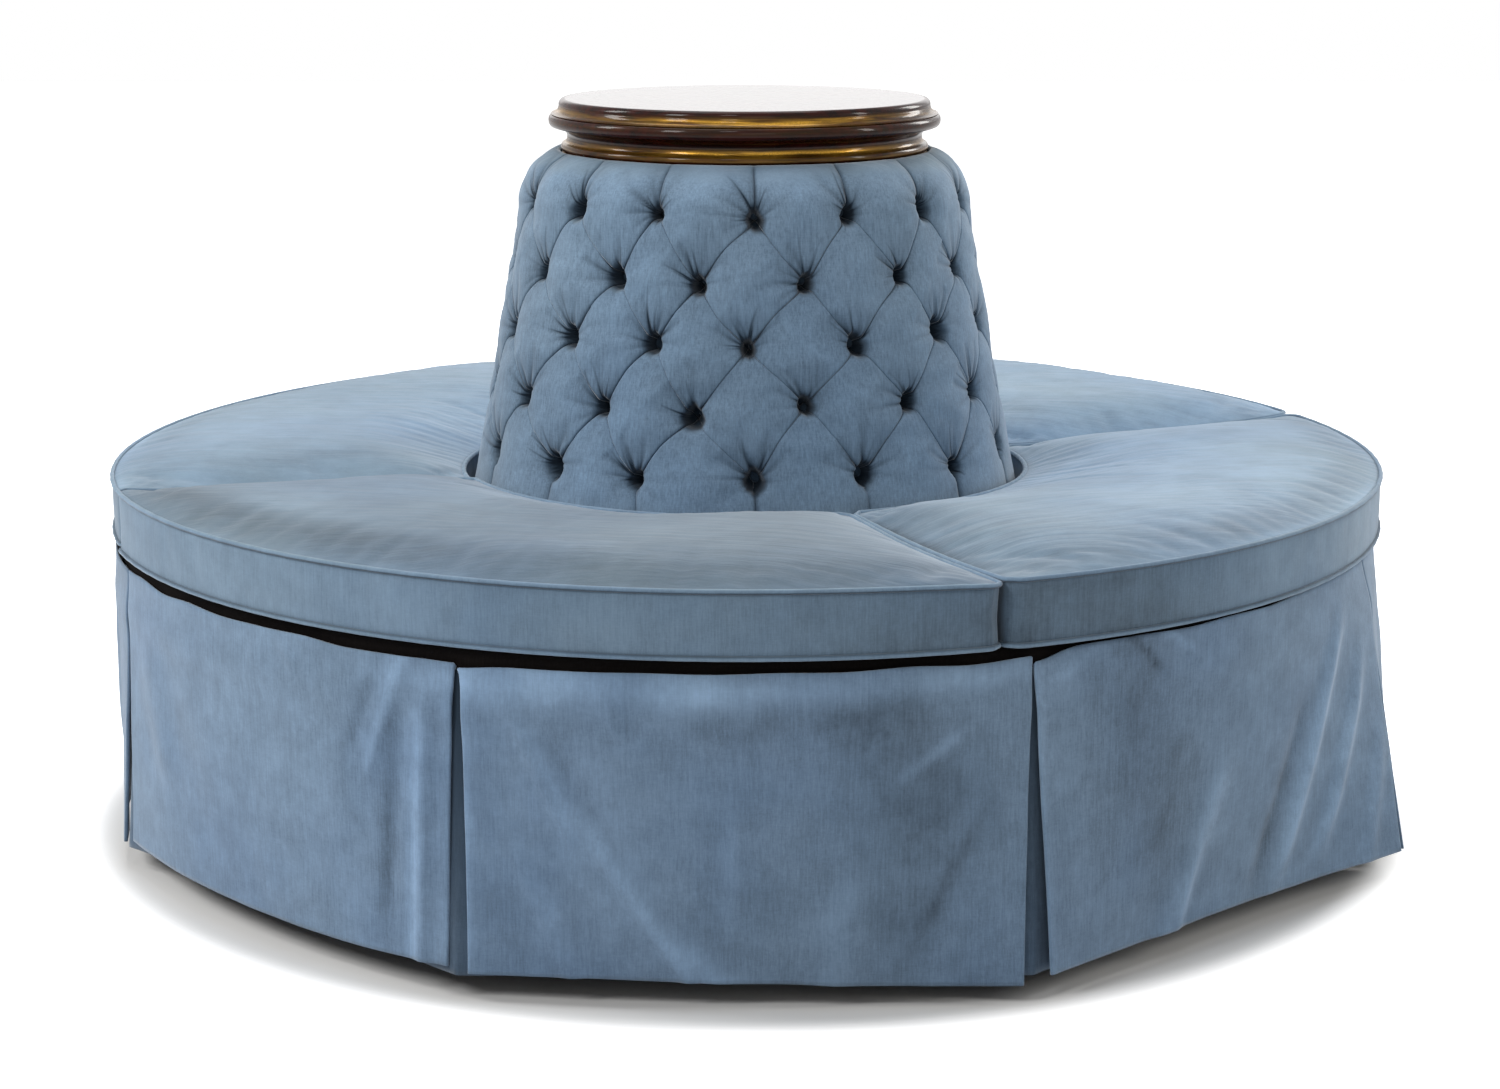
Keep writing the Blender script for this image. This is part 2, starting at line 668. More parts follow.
@dataclass
class TuftedColumn:
    """Deep-buttoned cover of the column: diamond pleats, sunk buttons and a soft shoulder.

    The cover is worked out on a flat lattice first. There a counts button spacings round the
    column and b counts rows down from the top row; s = a + b/2 is whole along the pleats that
    rise to the right, and t = a - b/2 along those that fall to the right.
    """

    buttons_round: int = 15
    button_rows: int = 5
    first_button: float = math.radians(2.6)
    lines_per_half: int = 22
    line_power: float = 1.45
    shoulder_rows: int = 24
    foot_rows: int = 16
    top_row_height: float = 0.8145
    row_spacing: float = 0.0799
    shoulder_height: float = 0.800
    shoulder_radius: float = 0.2934
    head_radius: float = 0.2325
    neck_radius: float = 0.2379
    upright_foot: float = 0.055
    groove_depth: float = 0.0036
    slot_depth: float = 0.0044
    slot_width: float = 0.0010
    pocket_depth: float = 0.0240
    pocket_width: float = 0.0086
    pocket_height: float = 0.0122
    funnel_depth: float = 0.0062
    funnel_width: float = 0.0090
    funnel_spread: float = 0.0200
    fan_depth: float = 0.0040
    fan_reach: float = 0.0300
    bow: float = 0.034
    jitter: float = 0.026
    button_radius: float = 0.0085
    table_rows: int = 16
    seed: int = 11
    # Row, count, then how far the button sits from its even place: degrees right and millimetres up.
    nudges: tuple[tuple[int, float, float, float], ...] = (
        (0, -1, -0.6, 2), (0, 0, 0.0, -3), (0, 1, 0.1, 1), (0, 2, 0.4, 0),
        (1, -1.5, 1.9, 2), (1, -0.5, -1.4, -3), (1, 0.5, 0.0, -1), (1, 1.5, 1.9, 1),
        (2, -2, 1.8, 3), (2, -1, 0.4, 5), (2, 0, -1.8, 1), (2, 1, -0.2, 1), (2, 2, 0.4, 8),
        (3, -1.5, 0.9, 2), (3, -0.5, -1.6, -3), (3, 0.5, -1.2, 11), (3, 1.5, 0.4, 6),
        (4, -2, 1.2, 2), (4, -1, -1.7, -2), (4, 0, -0.6, 1), (4, 1, -0.9, 3), (4, 2, 0.2, -5),
    )

    def __post_init__(self) -> None:
        """Read the height of the padding from the frame."""
        low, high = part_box("tufted_pad")
        self.foot_height = low[2] + MM
        self.foot_radius, _, self.head_height = high
        self.spacing = 2 * math.pi / self.buttons_round
        self.side = math.hypot(self.spacing * self.shoulder_radius / 2, self.row_spacing)
        self.make_profile()
        self.uneven_count = self.jitter * self.random_table(13)
        self.uneven_row = self.jitter * self.random_table(14)
        for row, count, degrees, rise in self.nudges:
            place = (math.floor(count) % self.buttons_round, row)
            self.uneven_count[place] = math.radians(degrees) / self.spacing
            self.uneven_row[place] = -rise * MM / self.row_spacing

    def make_profile(self) -> None:
        """Trace the outline of the full padding from the seat up to the wood."""
        rise = self.head_height - self.shoulder_height
        width = self.shoulder_radius - self.head_radius
        path = [(self.foot_radius, self.foot_height), (self.foot_radius, self.foot_height + self.upright_foot)]
        path.append((self.shoulder_radius, self.shoulder_height))
        turn = arc((self.head_radius, self.shoulder_height), width, rise, 0, 90, 90)
        path += [point for point in turn if point[0] > self.neck_radius + 2 * MM]
        tuck = self.head_height - 1.5 * MM
        path += [(self.neck_radius + 0.6 * MM, tuck), (self.neck_radius, tuck - 2 * MM)]
        path.append((self.neck_radius, tuck - 4 * MM))
        points = np.array(path)
        steps = np.hypot(*np.diff(points, axis=0).T)
        lengths = np.concatenate(([0.0], np.cumsum(steps)))
        even = np.linspace(0.0, lengths[-1], 900)
        kernel = np.hanning(31)
        kernel /= kernel.sum()
        padded = [np.pad(np.interp(even, lengths, points[:, axis]), 15, mode="edge") for axis in (0, 1)]
        self.path_radius, self.path_height = (np.convolve(line, kernel, mode="valid") for line in padded)
        crest = int(np.argmax(self.path_height))
        zero = np.interp(self.top_row_height, self.path_height[:crest], even[:crest])
        self.path_row = (zero - even) / self.row_spacing
        foot = self.foot_height + MM
        self.foot_row = float(np.interp(foot, self.path_height[:crest], self.path_row[:crest]))

    def outline(self, row: Array) -> tuple[Array, Array]:
        """Radius and height of the full padding at row numbers."""
        order = np.argsort(self.path_row)
        rows = self.path_row[order]
        return np.interp(row, rows, self.path_radius[order]), np.interp(row, rows, self.path_height[order])

    def flat_strip(self) -> bmesh.types.BMesh:
        """Lay out one button spacing of the lattice flat, with its lines crowded along the pleats."""
        count = self.lines_per_half
        half = [0.5 * (step / count) ** self.line_power for step in range(count + 1)]
        shares = half + [1.0 - share for share in reversed(half[:-1])]
        cells = len(shares) - 1
        half_rows = (self.button_rows - 1) // 2
        lines = (half_rows + 1) * cells
        bm = bmesh.new()
        bmesh.ops.create_grid(bm, x_segments=lines, y_segments=lines, size=1.0)
        for vert in bm.verts:
            column = round((vert.co.x + 1.0) / 2 * lines)
            row = round((vert.co.y + 1.0) / 2 * lines)
            rising = column // cells + shares[column % cells]
            falling = row // cells + shares[row % cells] - half_rows
            vert.co = Vector(((rising + falling) / 2, rising - falling, 0.0))
        cuts = (((0, 0, 0), (-1, 0, 0)), ((1, 0, 0), (1, 0, 0)), ((0, 0, 0), (0, -1, 0)))
        for place, outside in (*cuts, ((0, self.button_rows - 1, 0), (0, 1, 0))):
            geometry = [*bm.verts, *bm.edges, *bm.faces]
            bmesh.ops.bisect_plane(
                bm, geom=geometry, dist=CLOSE, plane_co=place, plane_no=outside, clear_outer=True
            )
        return bm

    def add_rows(self, bm: bmesh.types.BMesh, start: float, end: float, count: int) -> None:
        """Extrude rows of the flat cover past its first or last row of buttons."""
        row = start
        for step in range(1, count + 1):
            edges = [edge for edge in bm.edges if all(abs(vert.co.y - row) < CLOSE for vert in edge.verts)]
            raised = bmesh.ops.extrude_edge_only(bm, edges=edges)
            row = start + (end - start) * (step / count) ** 1.5
            for vert in new_verts(raised):
                vert.co.y = row

    def flat_cover(self) -> Mesh:
        """Lay out the whole cover flat, with its lattice places kept as a UV map."""
        bm = self.flat_strip()
        self.add_rows(bm, 0.0, float(self.path_row[-1]), self.shoulder_rows)
        self.add_rows(bm, float(self.button_rows - 1), self.foot_row, self.foot_rows)
        strip = [*bm.verts, *bm.edges, *bm.faces]
        for index in range(1, self.buttons_round):
            verts = new_verts(bmesh.ops.duplicate(bm, geom=strip))
            bmesh.ops.translate(bm, verts=verts, vec=(index, 0, 0))
        bmesh.ops.remove_doubles(bm, verts=bm.verts, dist=CLOSE)
        layer = bm.loops.layers.uv.new("lattice")
        for face in bm.faces:
            for loop in face.loops:
                loop[layer].uv = loop.vert.co.xy
        return mesh_from(bm, "tufted_cover")

    def random_table(self, seed: int) -> Array:
        """Random values from -1 to 1, one for each button."""
        shape = (self.buttons_round, self.table_rows)
        return np.random.default_rng(self.seed + seed).uniform(-1.0, 1.0, shape)

    def indices(self, rising: Array, falling: Array) -> tuple[Array, Array]:
        """Places in a table of buttons given by their whole s and t."""
        round_index = np.floor((rising + falling) / 2 + CLOSE).astype(int) % self.buttons_round
        return round_index, np.round(rising - falling).astype(int) % self.table_rows

    def spread(self, table: Array, rising: Array, falling: Array) -> Array:
        """Carry the buttons' values smoothly over the cover between them."""
        low_s, low_t = np.floor(rising), np.floor(falling)
        share_s, share_t = ease(rising - low_s), ease(falling - low_t)
        total = np.zeros_like(rising)
        for step_s, weight_s in ((0, 1 - share_s), (1, share_s)):
            for step_t, weight_t in ((0, 1 - share_t), (1, share_t)):
                total += table[self.indices(low_s + step_s, low_t + step_t)] * weight_s * weight_t
        return total

    def node_random(self, seed: int, rising: Array, falling: Array) -> Array:
        """One random value from -1 to 1 for each button, given by its whole s and t."""
        return self.random_table(seed)[self.indices(rising, falling)]

    def spread_nodes(self, seed: int, rising: Array, falling: Array) -> Array:
        """Carry the buttons' random values smoothly over the cover between them."""
        return self.spread(self.random_table(seed), rising, falling)

    def groove(self, offset: Array, lip_side: int) -> Array:
        """Depth share across a pleat: steep under its lip, gentle on its other side."""
        swell = np.abs(np.sin(math.pi * offset))
        return np.where(offset * lip_side > 0, 1.0 - swell**0.50, 1.0 - swell**0.85)

    def depth(self, rising: Array, falling: Array, past: Array) -> tuple[Array, Array]:
        """Depth of the cover under its full outline.

        Args:
            rising: The s of each vertex, held at the outer rows past them.
            falling: The t of each vertex, held alike.
            past: How far a vertex is past the outer rows of buttons, in rows.

        Returns:
            Depths in metres, and how deep in a fold each vertex is, from 0 to 1.
        """
        button = (np.round(rising), np.round(falling))
        off_s, off_t = rising - button[0], falling - button[1]
        near_s, near_t = np.abs(np.sin(math.pi * falling)), np.abs(np.sin(math.pi * rising))
        plain = np.abs(past)
        fade = 1.0 - 0.45 * np.minimum(plain, 1.0)
        upright = 1.0 - np.minimum(4 * plain, 1.0) * (0.66 - 0.26 * self.spread_nodes(15, rising, falling))
        firm_s = 1.0 + 0.20 * self.spread_nodes(1, rising, falling)
        firm_t = 0.80 + 0.22 * self.spread_nodes(2, rising, falling)
        rising_groove = self.groove(off_s, -1) * firm_s
        falling_groove = self.groove(off_t, 1) * firm_t
        depth = self.groove_depth * fade * (rising_groove + falling_groove)
        mouth = np.hypot(
            (off_s + off_t) * self.spacing * self.shoulder_radius / 2, (off_s - off_t) * self.row_spacing
        )
        slot_width = self.slot_width * (1.0 + 1.6 * bell(mouth, 0.017))
        slot_s = bell(off_s * self.side, slot_width) * (0.55 + 0.45 * (1 - near_s)) * upright
        slot_t = bell(off_t * self.side, slot_width) * (0.38 + 0.62 * (1 - near_t) ** 2) * upright
        depth += self.slot_depth * (slot_s * firm_s + slot_t * firm_t * 0.8) * fade
        across = (off_s + off_t) / 2 * self.spacing * self.shoulder_radius
        up = -(off_s - off_t + past) * self.row_spacing
        skew = across + 0.25 * up * self.node_random(3, *button)
        size = 1.0 + 0.22 * self.node_random(16, *button)
        taper = 1.0 - 0.42 * np.clip(up / self.pocket_height, -0.2, 1.0)
        reach = np.hypot(skew / (self.pocket_width * taper), up / self.pocket_height) / size
        pocket = 1.0 / (1.0 + reach**8)
        distance = np.hypot(across, up)
        lean = np.cos(np.arctan2(up, across) - self.fan_lean(*button))
        spread = self.funnel_width + self.funnel_spread * ((1.0 + lean) / 2) ** 1.5
        depth += self.pocket_depth * pocket + self.funnel_depth * np.exp(-((distance / spread) ** 1.3))
        lines = self.fans(*button, across, up, distance)
        depth += self.fan_depth * lines
        puff = 0.9 * MM * self.spread_nodes(4, rising + 0.5, falling + 0.5)
        depth -= puff * (near_s * near_t) ** 0.5 * np.maximum(1 - plain, 0.0)
        creases = 0.80 * slot_s * (0.75 + 0.25 * firm_s) + 0.45 * slot_t * firm_t
        hollow = 0.13 * (rising_groove + falling_groove) + 0.46 * np.exp(-((distance / spread) ** 1.4))
        return depth, held(hollow + creases + 1.5 * pocket + 0.9 * lines)

    def fan_lean(self, rising: Array, falling: Array) -> Array:
        """Direction that each button's fan of wrinkles opens in, upwards and a little left."""
        return math.radians(115) + math.radians(32) * self.node_random(8, rising, falling)

    def fans(self, rising: Array, falling: Array, across: Array, up: Array, distance: Array) -> Array:
        """Wrinkles that fan out from each button, most of all upwards.

        Args:
            rising: The whole s of the nearest button.
            falling: The whole t of the nearest button.
            across: Distance to the right of the button.
            up: Distance above the button.
            distance: Distance from the button.

        Returns:
            Depths as shares from 0 to 1.
        """
        angle = np.arctan2(up, across)
        phase = math.pi * self.node_random(5, rising, falling)
        count = np.round(11.0 + 2.0 * self.node_random(6, rising, falling))
        turned = count * angle + phase + 0.5 * np.sin(distance / (11 * MM) + phase)
        ray = np.floor((turned + math.pi) / (2 * math.pi)).astype(int) % 16
        strength = np.random.default_rng(self.seed + 7).uniform(0.0, 1.0, (self.buttons_round, 16, 16)) ** 0.7
        valley = ((1.0 + np.cos(turned)) / 2) ** 3.2 * strength[(*self.indices(rising, falling), ray)]
        facing = 0.12 + 0.88 * ((1.0 + np.cos(angle - self.fan_lean(rising, falling))) / 2) ** 2
        outside = ease(held((distance - 3 * MM) / (6 * MM)))
        reach = self.fan_reach * (1.0 + 0.3 * self.node_random(9, rising, falling))
        return valley * facing * outside * np.exp(-np.maximum(distance - 10 * MM, 0.0) / reach)

    def shift(self, rising: Array, falling: Array) -> tuple[Array, Array]:
        """How far the cover is pulled along itself: uneven buttons, bowed pleats and folded lips."""
        off_s, off_t = rising - np.round(rising), falling - np.round(falling)
        lip_width, lip = 2.6 * MM / self.side, 1.5 * MM / self.side
        move_s = np.where(off_s < 0, lip * bell(off_s, lip_width), 0.0)
        move_t = np.where(off_t > 0, -lip * bell(off_t, lip_width), 0.0)
        bow_s = self.bow * (1.0 + 0.8 * self.spread_nodes(10, rising, np.floor(falling)))
        bow_t = self.bow * (0.5 + 0.8 * self.spread_nodes(12, np.floor(rising), falling))
        move_s -= bow_s * np.sin(math.pi * falling) ** 2
        move_t -= bow_t * np.sin(math.pi * rising) ** 2
        count = self.spread(self.uneven_count, rising, falling)
        row = self.spread(self.uneven_row, rising, falling)
        return move_s + count + row / 2, move_t + count - row / 2

    def roll(self, mesh: Mesh) -> None:
        """Roll the flat cover round the column and draw in its buttons and pleats."""
        count, row, _ = read_points(mesh).T
        inside = np.clip(row, 0.0, self.button_rows - 1.0)
        rising, falling = count + inside / 2, count - inside / 2
        depth, fold = self.depth(rising, falling, row - inside)
        move_s, move_t = self.shift(rising, falling)
        quiet = held(1.0 - np.abs(row - inside) / 1.1)
        count = count + (move_s + move_t) / 2 * quiet
        row = row + (move_s - move_t) * quiet
        radius, height = self.outline(row)
        low_radius, low_height = self.outline(row + 0.02)
        fall_r, fall_z = low_radius - radius, low_height - height
        length = np.maximum(np.hypot(fall_r, fall_z), CLOSE)
        out_r, out_z = -fall_z / length, fall_r / length
        ending = ease(held((row - self.path_row[-1]) / 0.30))
        depth = depth * ending
        depth += 1.1 * MM * smooth_random(self.seed, count * 64 / self.buttons_round, row * 4) * ending
        angle = self.first_button + count * self.spacing
        write_points(mesh, around(radius - depth * out_r, angle, height - depth * out_z))
        paint(mesh, "fold", fold)
        paint(mesh, "brushing", -0.16 * held(-np.sin(angle)) ** 2)

    def build_cover(self, finish: Material) -> Piece:
        """Make the buttoned cover."""
        mesh = self.flat_cover()
        self.roll(mesh)
        bm = bmesh.new()
        bm.from_mesh(mesh)
        bmesh.ops.remove_doubles(bm, verts=[vert for vert in bm.verts if vert.is_boundary], dist=CLOSE)
        bmesh.ops.recalc_face_normals(bm, faces=bm.faces)
        bm.to_mesh(mesh)
        bm.free()
        mesh.shade_smooth()
        piece = link_piece(mesh, "tufted_cover", finish)
        return seat(piece, Body.FRAME, ("tufted_pad",))

    def build_buttons(self, finish: Material) -> Piece:
        """Make the covered buttons at the bottom of the pockets."""
        bm = bmesh.new()
        sunk = self.pocket_depth + 2 * self.groove_depth + self.slot_depth
        flat = Matrix.Rotation(math.pi / 2, 4, "X") @ Matrix.Diagonal((1.0, 1.0, 0.5, 1.0))
        for row in range(self.button_rows):
            radius, height = (float(value) for value in self.outline(row))
            for index in range(self.buttons_round):
                angle = self.first_button + (index + (row % 2) / 2) * self.spacing
                turn = Matrix.Rotation(angle, 4, "Z") @ Matrix.Translation((0, -(radius - sunk), height))
                bmesh.ops.create_uvsphere(
                    bm, u_segments=12, v_segments=6, radius=self.button_radius, matrix=turn @ flat
                )
        mesh = mesh_from(bm, "covered_buttons")
        paint(mesh, "fold", np.full(len(mesh.vertices), 0.80))
        return seat(link_piece(mesh, "covered_buttons", finish), Body.FRAME)


@dataclass
class WoodTop:
    """Turned top: an upper disc with nosing, ogee and torus over a lower disc with cove and bead."""

    face_radius: float = 0.2334
    nosing_width: float = 0.0065
    nosing_height: float = 0.0075
    ogee_width: float = 0.0100
    ogee_height: float = 0.0110
    fillet: float = 0.0012
    torus_height: float = 0.0150
    torus_swell: float = 0.0045
    cove_radius: float = 0.2294
    bead_height: float = 0.0110
    bead_swell: float = 0.0040
    bead_radius: float = 0.2374
    under_fillet: float = 0.0030
    under_fillet_radius: float = 0.2325
    steps: int = 256

    def __post_init__(self) -> None:
        """Read where the two discs lie from the frame."""
        (_, _, self.base), (_, _, self.top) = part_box("top_disc")
        (_, _, self.under_base), (_, _, self.under_top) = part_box("under_disc")

    def upper_profile(self) -> list[Point]:
        """Outline of the upper disc, from the middle of its face to the middle of its underside."""
        nosing_base = self.top - self.nosing_height
        ogee_radius = self.face_radius + self.nosing_width + self.ogee_width
        ogee_base = nosing_base - self.ogee_height
        torus_top = ogee_base - self.fillet
        torus_centre = (ogee_radius - self.fillet, torus_top - self.torus_height / 2)
        cove_height = torus_top - self.torus_height - self.base
        return [
            (0.0, self.top),
            (self.face_radius * 0.5, self.top),
            (self.face_radius - self.fillet, self.top),
            *arc((self.face_radius, nosing_base), self.nosing_width, self.nosing_height, 90, -12, 10),
            *arc((ogee_radius, nosing_base), self.ogee_width, self.ogee_height, 190, 268, 10),
            (ogee_radius, ogee_base),
            (ogee_radius - self.fillet / 2, torus_top),
            *arc(torus_centre, self.torus_swell, self.torus_height / 2, 84, -84, 14),
            *arc((torus_centre[0], self.base), torus_centre[0] - self.cove_radius, cove_height, 96, 180, 12),
            (0.0, self.base),
        ]

    def lower_profile(self) -> list[Point]:
        """Outline of the lower disc, from the middle of its top to the middle of its underside."""
        fillet_top = self.under_base + self.under_fillet
        bead_top = fillet_top + self.bead_height
        bead_centre = (self.bead_radius - self.bead_swell, (fillet_top + bead_top) / 2)
        cove_width = bead_centre[0] - self.cove_radius
        return [
            (0.0, self.under_top),
            *arc((bead_centre[0], self.under_top), cove_width, self.under_top - bead_top, 180, 266, 9),
            (bead_centre[0], bead_top),
            *arc(bead_centre, self.bead_swell, self.bead_height / 2, 84, -84, 12),
            (self.under_fillet_radius, fillet_top),
            (self.under_fillet_radius, self.under_base),
            (0.0, self.under_base),
        ]

    def gild(self, mesh: Mesh) -> None:
        """Paint where the gilding lies: full in the ogee and the lower cove, rubbed elsewhere."""
        x, y, height = read_points(mesh).T
        ogee = self.top - self.nosing_height - self.ogee_height * 0.55
        torus = self.top - self.nosing_height - self.ogee_height - self.torus_height * 0.5
        rubbed = 0.62 + 0.38 * np.cos(3 * (np.arctan2(x, -y) - math.radians(8)))
        share = bell(height - ogee, 4.2 * MM) * rubbed
        share += 0.05 * bell(height - torus, 3.0 * MM)
        share += bell(height - self.under_top + 5 * MM, 4.0 * MM) * rubbed
        share += 0.25 * bell(height - self.under_base - 8.5 * MM, 2.0 * MM)
        share += 0.45 * bell(height - self.under_base - 1.5 * MM, 1.3 * MM)
        paint(mesh, "gilt", np.where(np.hypot(x, y) > self.face_radius * 0.97, held(share), 0.0))

    def polish_face(self, mesh: Mesh, polish: Material) -> None:
        """Give the flat face its own, glossier finish."""
        mesh.materials.append(polish)
        for polygon in mesh.polygons:
            near = polygon.center.xy.length < self.face_radius * 0.995
            if near and polygon.normal.z > 0.9 and polygon.center.z > self.top - MM:
                polygon.material_index = 1

    def build(self, finish: Material, polish: Material) -> None:
        """Turn both discs."""
        plans = (
            ("turned_top", self.upper_profile(), "top_disc"),
            ("turned_neck", self.lower_profile(), "under_disc"),
        )
        for name, profile, node in plans:
            mesh = turned_mesh(profile, self.steps, name)
            self.gild(mesh)
            seat(link_piece(mesh, name, finish), Body.FRAME, (node,))
            if node == "top_disc":
                self.polish_face(mesh, polish)


@dataclass(frozen=True)
class Drape:
    """Soft ridge or brushed streak, from one place to another on a face.

    Places are (across, down), each from 0 to 1, and sizes are metres. The shade is the share that
    its nap is lighter, or darker below zero.
    """

    start: Point
    end: Point
    width: float
    height: float
    shade: float = 0.0

    def share(self, across: Array, down: Array, size: Point = (0.64, 0.36)) -> Array:
        """How much of the ridge stands at each place, from 0 to 1, on a face of that size."""
        first, last, scale = np.array(self.start), np.array(self.end), np.array(size)
        line = (last - first) * scale
        length = float(np.hypot(*line))
        off_x, off_y = (across - first[0]) * scale[0], (down - first[1]) * scale[1]
        along = (off_x * line[0] + off_y * line[1]) / length**2
        aside = (off_x * line[1] - off_y * line[0]) / length
        return bell(aside, self.width) * (ease(held(along / 0.3)) * ease(held((1 - along) / 0.3)))


@dataclass
class SeatCushion:
    """Loose wedge cushion: crowned and welted, with its boxing drawn in between the corners."""

    side: str
    body: Body
    centre: float
    seed: int
    crown: float = 0.018
    full_crown: float = 0.026
    pillow: float = 4.2
    corner_drop: float = 0.0
    far_drop: float = 0.0
    stroke_turn: float = 0.0
    fan_wrinkles: bool = False
    top_shade: float = 1.0
    side_shade: float = 1.0
    end_shade: Point = (0.0, 0.0)
    strokes: tuple[Drape, ...] = ()
    radius: float = 0.825
    bore: float = 0.371
    boxing: float = 0.074
    half_angle: float = math.pi / 4
    seam_gap: float = 0.005
    side_draw: float = 0.003
    corner: float = 0.012
    seam_dip: float = 0.007
    welt_radius: float = 0.0031
    welt_rise: float = 0.0008
    steps_round: int = 108
    steps_across: int = 42
    steps_up: int = 7
    swell_cap: float = 0.012
    deck_radii: Point = (0.362, 0.792)
    deck_heights: Point = (0.3858, 0.4018)
    deck_gap: float = 0.0004
    side_gap: float = 0.0012

    def deck(self, radius: Array) -> Array:
        """Height of the padded deck under the cushion."""
        (inner, outer), (low, high) = self.deck_radii, self.deck_heights
        return low + (high - low) * (radius - inner) / (outer - inner)

    def polar(self, points: Array) -> tuple[Array, Array]:
        """Radius, and angle from the middle of the cushion, of rows of x, y, z."""
        angle = np.arctan2(points[:, 0], -points[:, 1]) - self.centre
        return np.hypot(points[:, 0], points[:, 1]), (angle + math.pi) % (2 * math.pi) - math.pi

    def start_mesh(self) -> Mesh:
        """Make the cushion before it is filled: panels, boxing and rounded corners."""
        bm = bmesh.new()
        bmesh.ops.create_grid(bm, x_segments=self.steps_round, y_segments=self.steps_across, size=1.0)
        raised = bmesh.ops.extrude_face_region(bm, geom=list(bm.faces), use_keep_orig=True)
        bmesh.ops.translate(bm, verts=new_verts(raised), vec=(0, 0, 1))
        uprights = [edge for edge in bm.edges if abs(edge.verts[0].co.z - edge.verts[1].co.z) > 0.5]
        bmesh.ops.subdivide_edges(bm, edges=uprights, cuts=self.steps_up - 1, use_grid_fill=True)
        crease = bm.edges.layers.float.new("crease_edge")
        for edge in bm.edges:
            ends = [vert.co for vert in edge.verts]
            on_panel = all(end.z in (0.0, 1.0) for end in ends) and ends[0].z == ends[1].z
            on_rim = any(all(abs(abs(end[axis]) - 1.0) < CLOSE for end in ends) for axis in (0, 1))
            if on_panel and on_rim and abs(ends[0][0] - ends[1][0]) * abs(ends[0][1] - ends[1][1]) < CLOSE:
                edge[crease] = 1.0
        bmesh.ops.recalc_face_normals(bm, faces=bm.faces)
        return mesh_from(bm, f"cushion_{self.side}")

    def shape(self, mesh: Mesh) -> None:
        """Bend the unit block into the wedge, and note its seams and its boxing."""
        unit = read_points(mesh)
        share, across, up = unit[:, 0], (unit[:, 1] + 1.0) / 2, unit[:, 2]
        aside, rim_across = np.abs(share), np.abs(2 * across - 1)
        self.beside = (up > CLOSE) & (up < 1 - CLOSE)
        self.on_seam = ((aside > 1 - CLOSE) | (across < CLOSE) | (across > 1 - CLOSE)) & ~self.beside
        radius = self.bore + (self.radius - self.bore) * across
        along = np.minimum((1 - aside) * radius * self.half_angle, self.corner)
        inward = np.minimum((1 - rim_across) / 2 * (self.radius - self.bore), self.corner)
        cut, cut_side = (
            self.corner - np.sqrt(np.maximum(self.corner**2 - (self.corner - near) ** 2, 0.0))
            for near in (along, inward)
        )
        edge_across, edge_round = (ease(held(1 - near / self.corner)) for near in (inward, along))
        radius = radius - np.sign(across - 0.5) * cut * edge_across * 0.6
        waist = (1 - (2 * up - 1) ** 2) * held((np.maximum(aside, rim_across) - 0.97) / 0.03)
        draw = self.side_draw * np.sin(math.pi * across) + 0.0015 * waist
        margin = self.seam_gap / 2 + draw + cut_side * edge_round * 0.6
        angle = share * (self.half_angle - np.arcsin(margin / radius))
        radius = radius + np.where(across > 0.5, -1.0, 1.0) * 0.001 * waist * (rim_across > 0.97)
        full = self.crown
        lift = full * (1 - rim_across**self.pillow) * (1 - aside**9)
        lift = lift - self.seam_dip * np.sin(math.pi * across) * aside**10
        lift -= self.corner_drop * held(share) ** 8 * across**6
        lift -= self.far_drop * ease((share + 1) / 2)
        height = self.deck(radius) + self.deck_gap + self.boxing * up + lift * up
        write_points(mesh, around(radius, self.centre + angle, height))
        mesh.flip_normals()

    def fill(self, piece: Piece) -> None:
        """Blow the cover up against its seams by simulation, and cap how far it swells."""
        start = read_points(piece.data)
        group = piece.vertex_groups.new(name="seams")
        group.add([int(index) for index in np.flatnonzero(self.on_seam)], 1.0, "REPLACE")
        cloth = piece.modifiers.new("filling", "CLOTH")
        settings = {
            "quality": 6, "mass": 0.3, "tension_stiffness": 12.0, "compression_stiffness": 12.0,
            "shear_stiffness": 6.0, "bending_stiffness": 0.6, "shrink_min": -0.012, "use_pressure": True,
            "uniform_pressure_force": 4.0, "vertex_group_mass": group.name,
        }
        for name, value in settings.items():
            setattr(cloth.settings, name, value)
        cloth.settings.effector_weights.gravity = 0.0
        scene = bpy.context.scene
        for step in range(1, 21):
            scene.frame_set(step)
        evaluated = piece.evaluated_get(bpy.context.evaluated_depsgraph_get())
        moved = read_points(evaluated.data) - start
        piece.modifiers.remove(cloth)
        scene.frame_set(1)
        length = np.maximum(np.linalg.norm(moved, axis=1, keepdims=True), 1e-9)
        moved = moved / length * (self.swell_cap * np.tanh(length / self.swell_cap))
        moved[self.beside] *= 0.35
        write_points(piece.data, start + moved)
        piece.vertex_groups.clear()

    def settle(self, mesh: Mesh) -> None:
        """Keep the cushion on the deck, off its neighbours and off the column."""
        points = read_points(mesh)
        radius, angle = self.polar(points)
        height = np.maximum(points[:, 2], self.deck(radius) + self.deck_gap)
        limit = self.half_angle - np.arcsin(self.side_gap / radius)
        place = self.centre + np.clip(angle, -limit, limit)
        write_points(mesh, around(np.clip(radius, self.bore - 0.004, self.radius + 0.004), place, height))

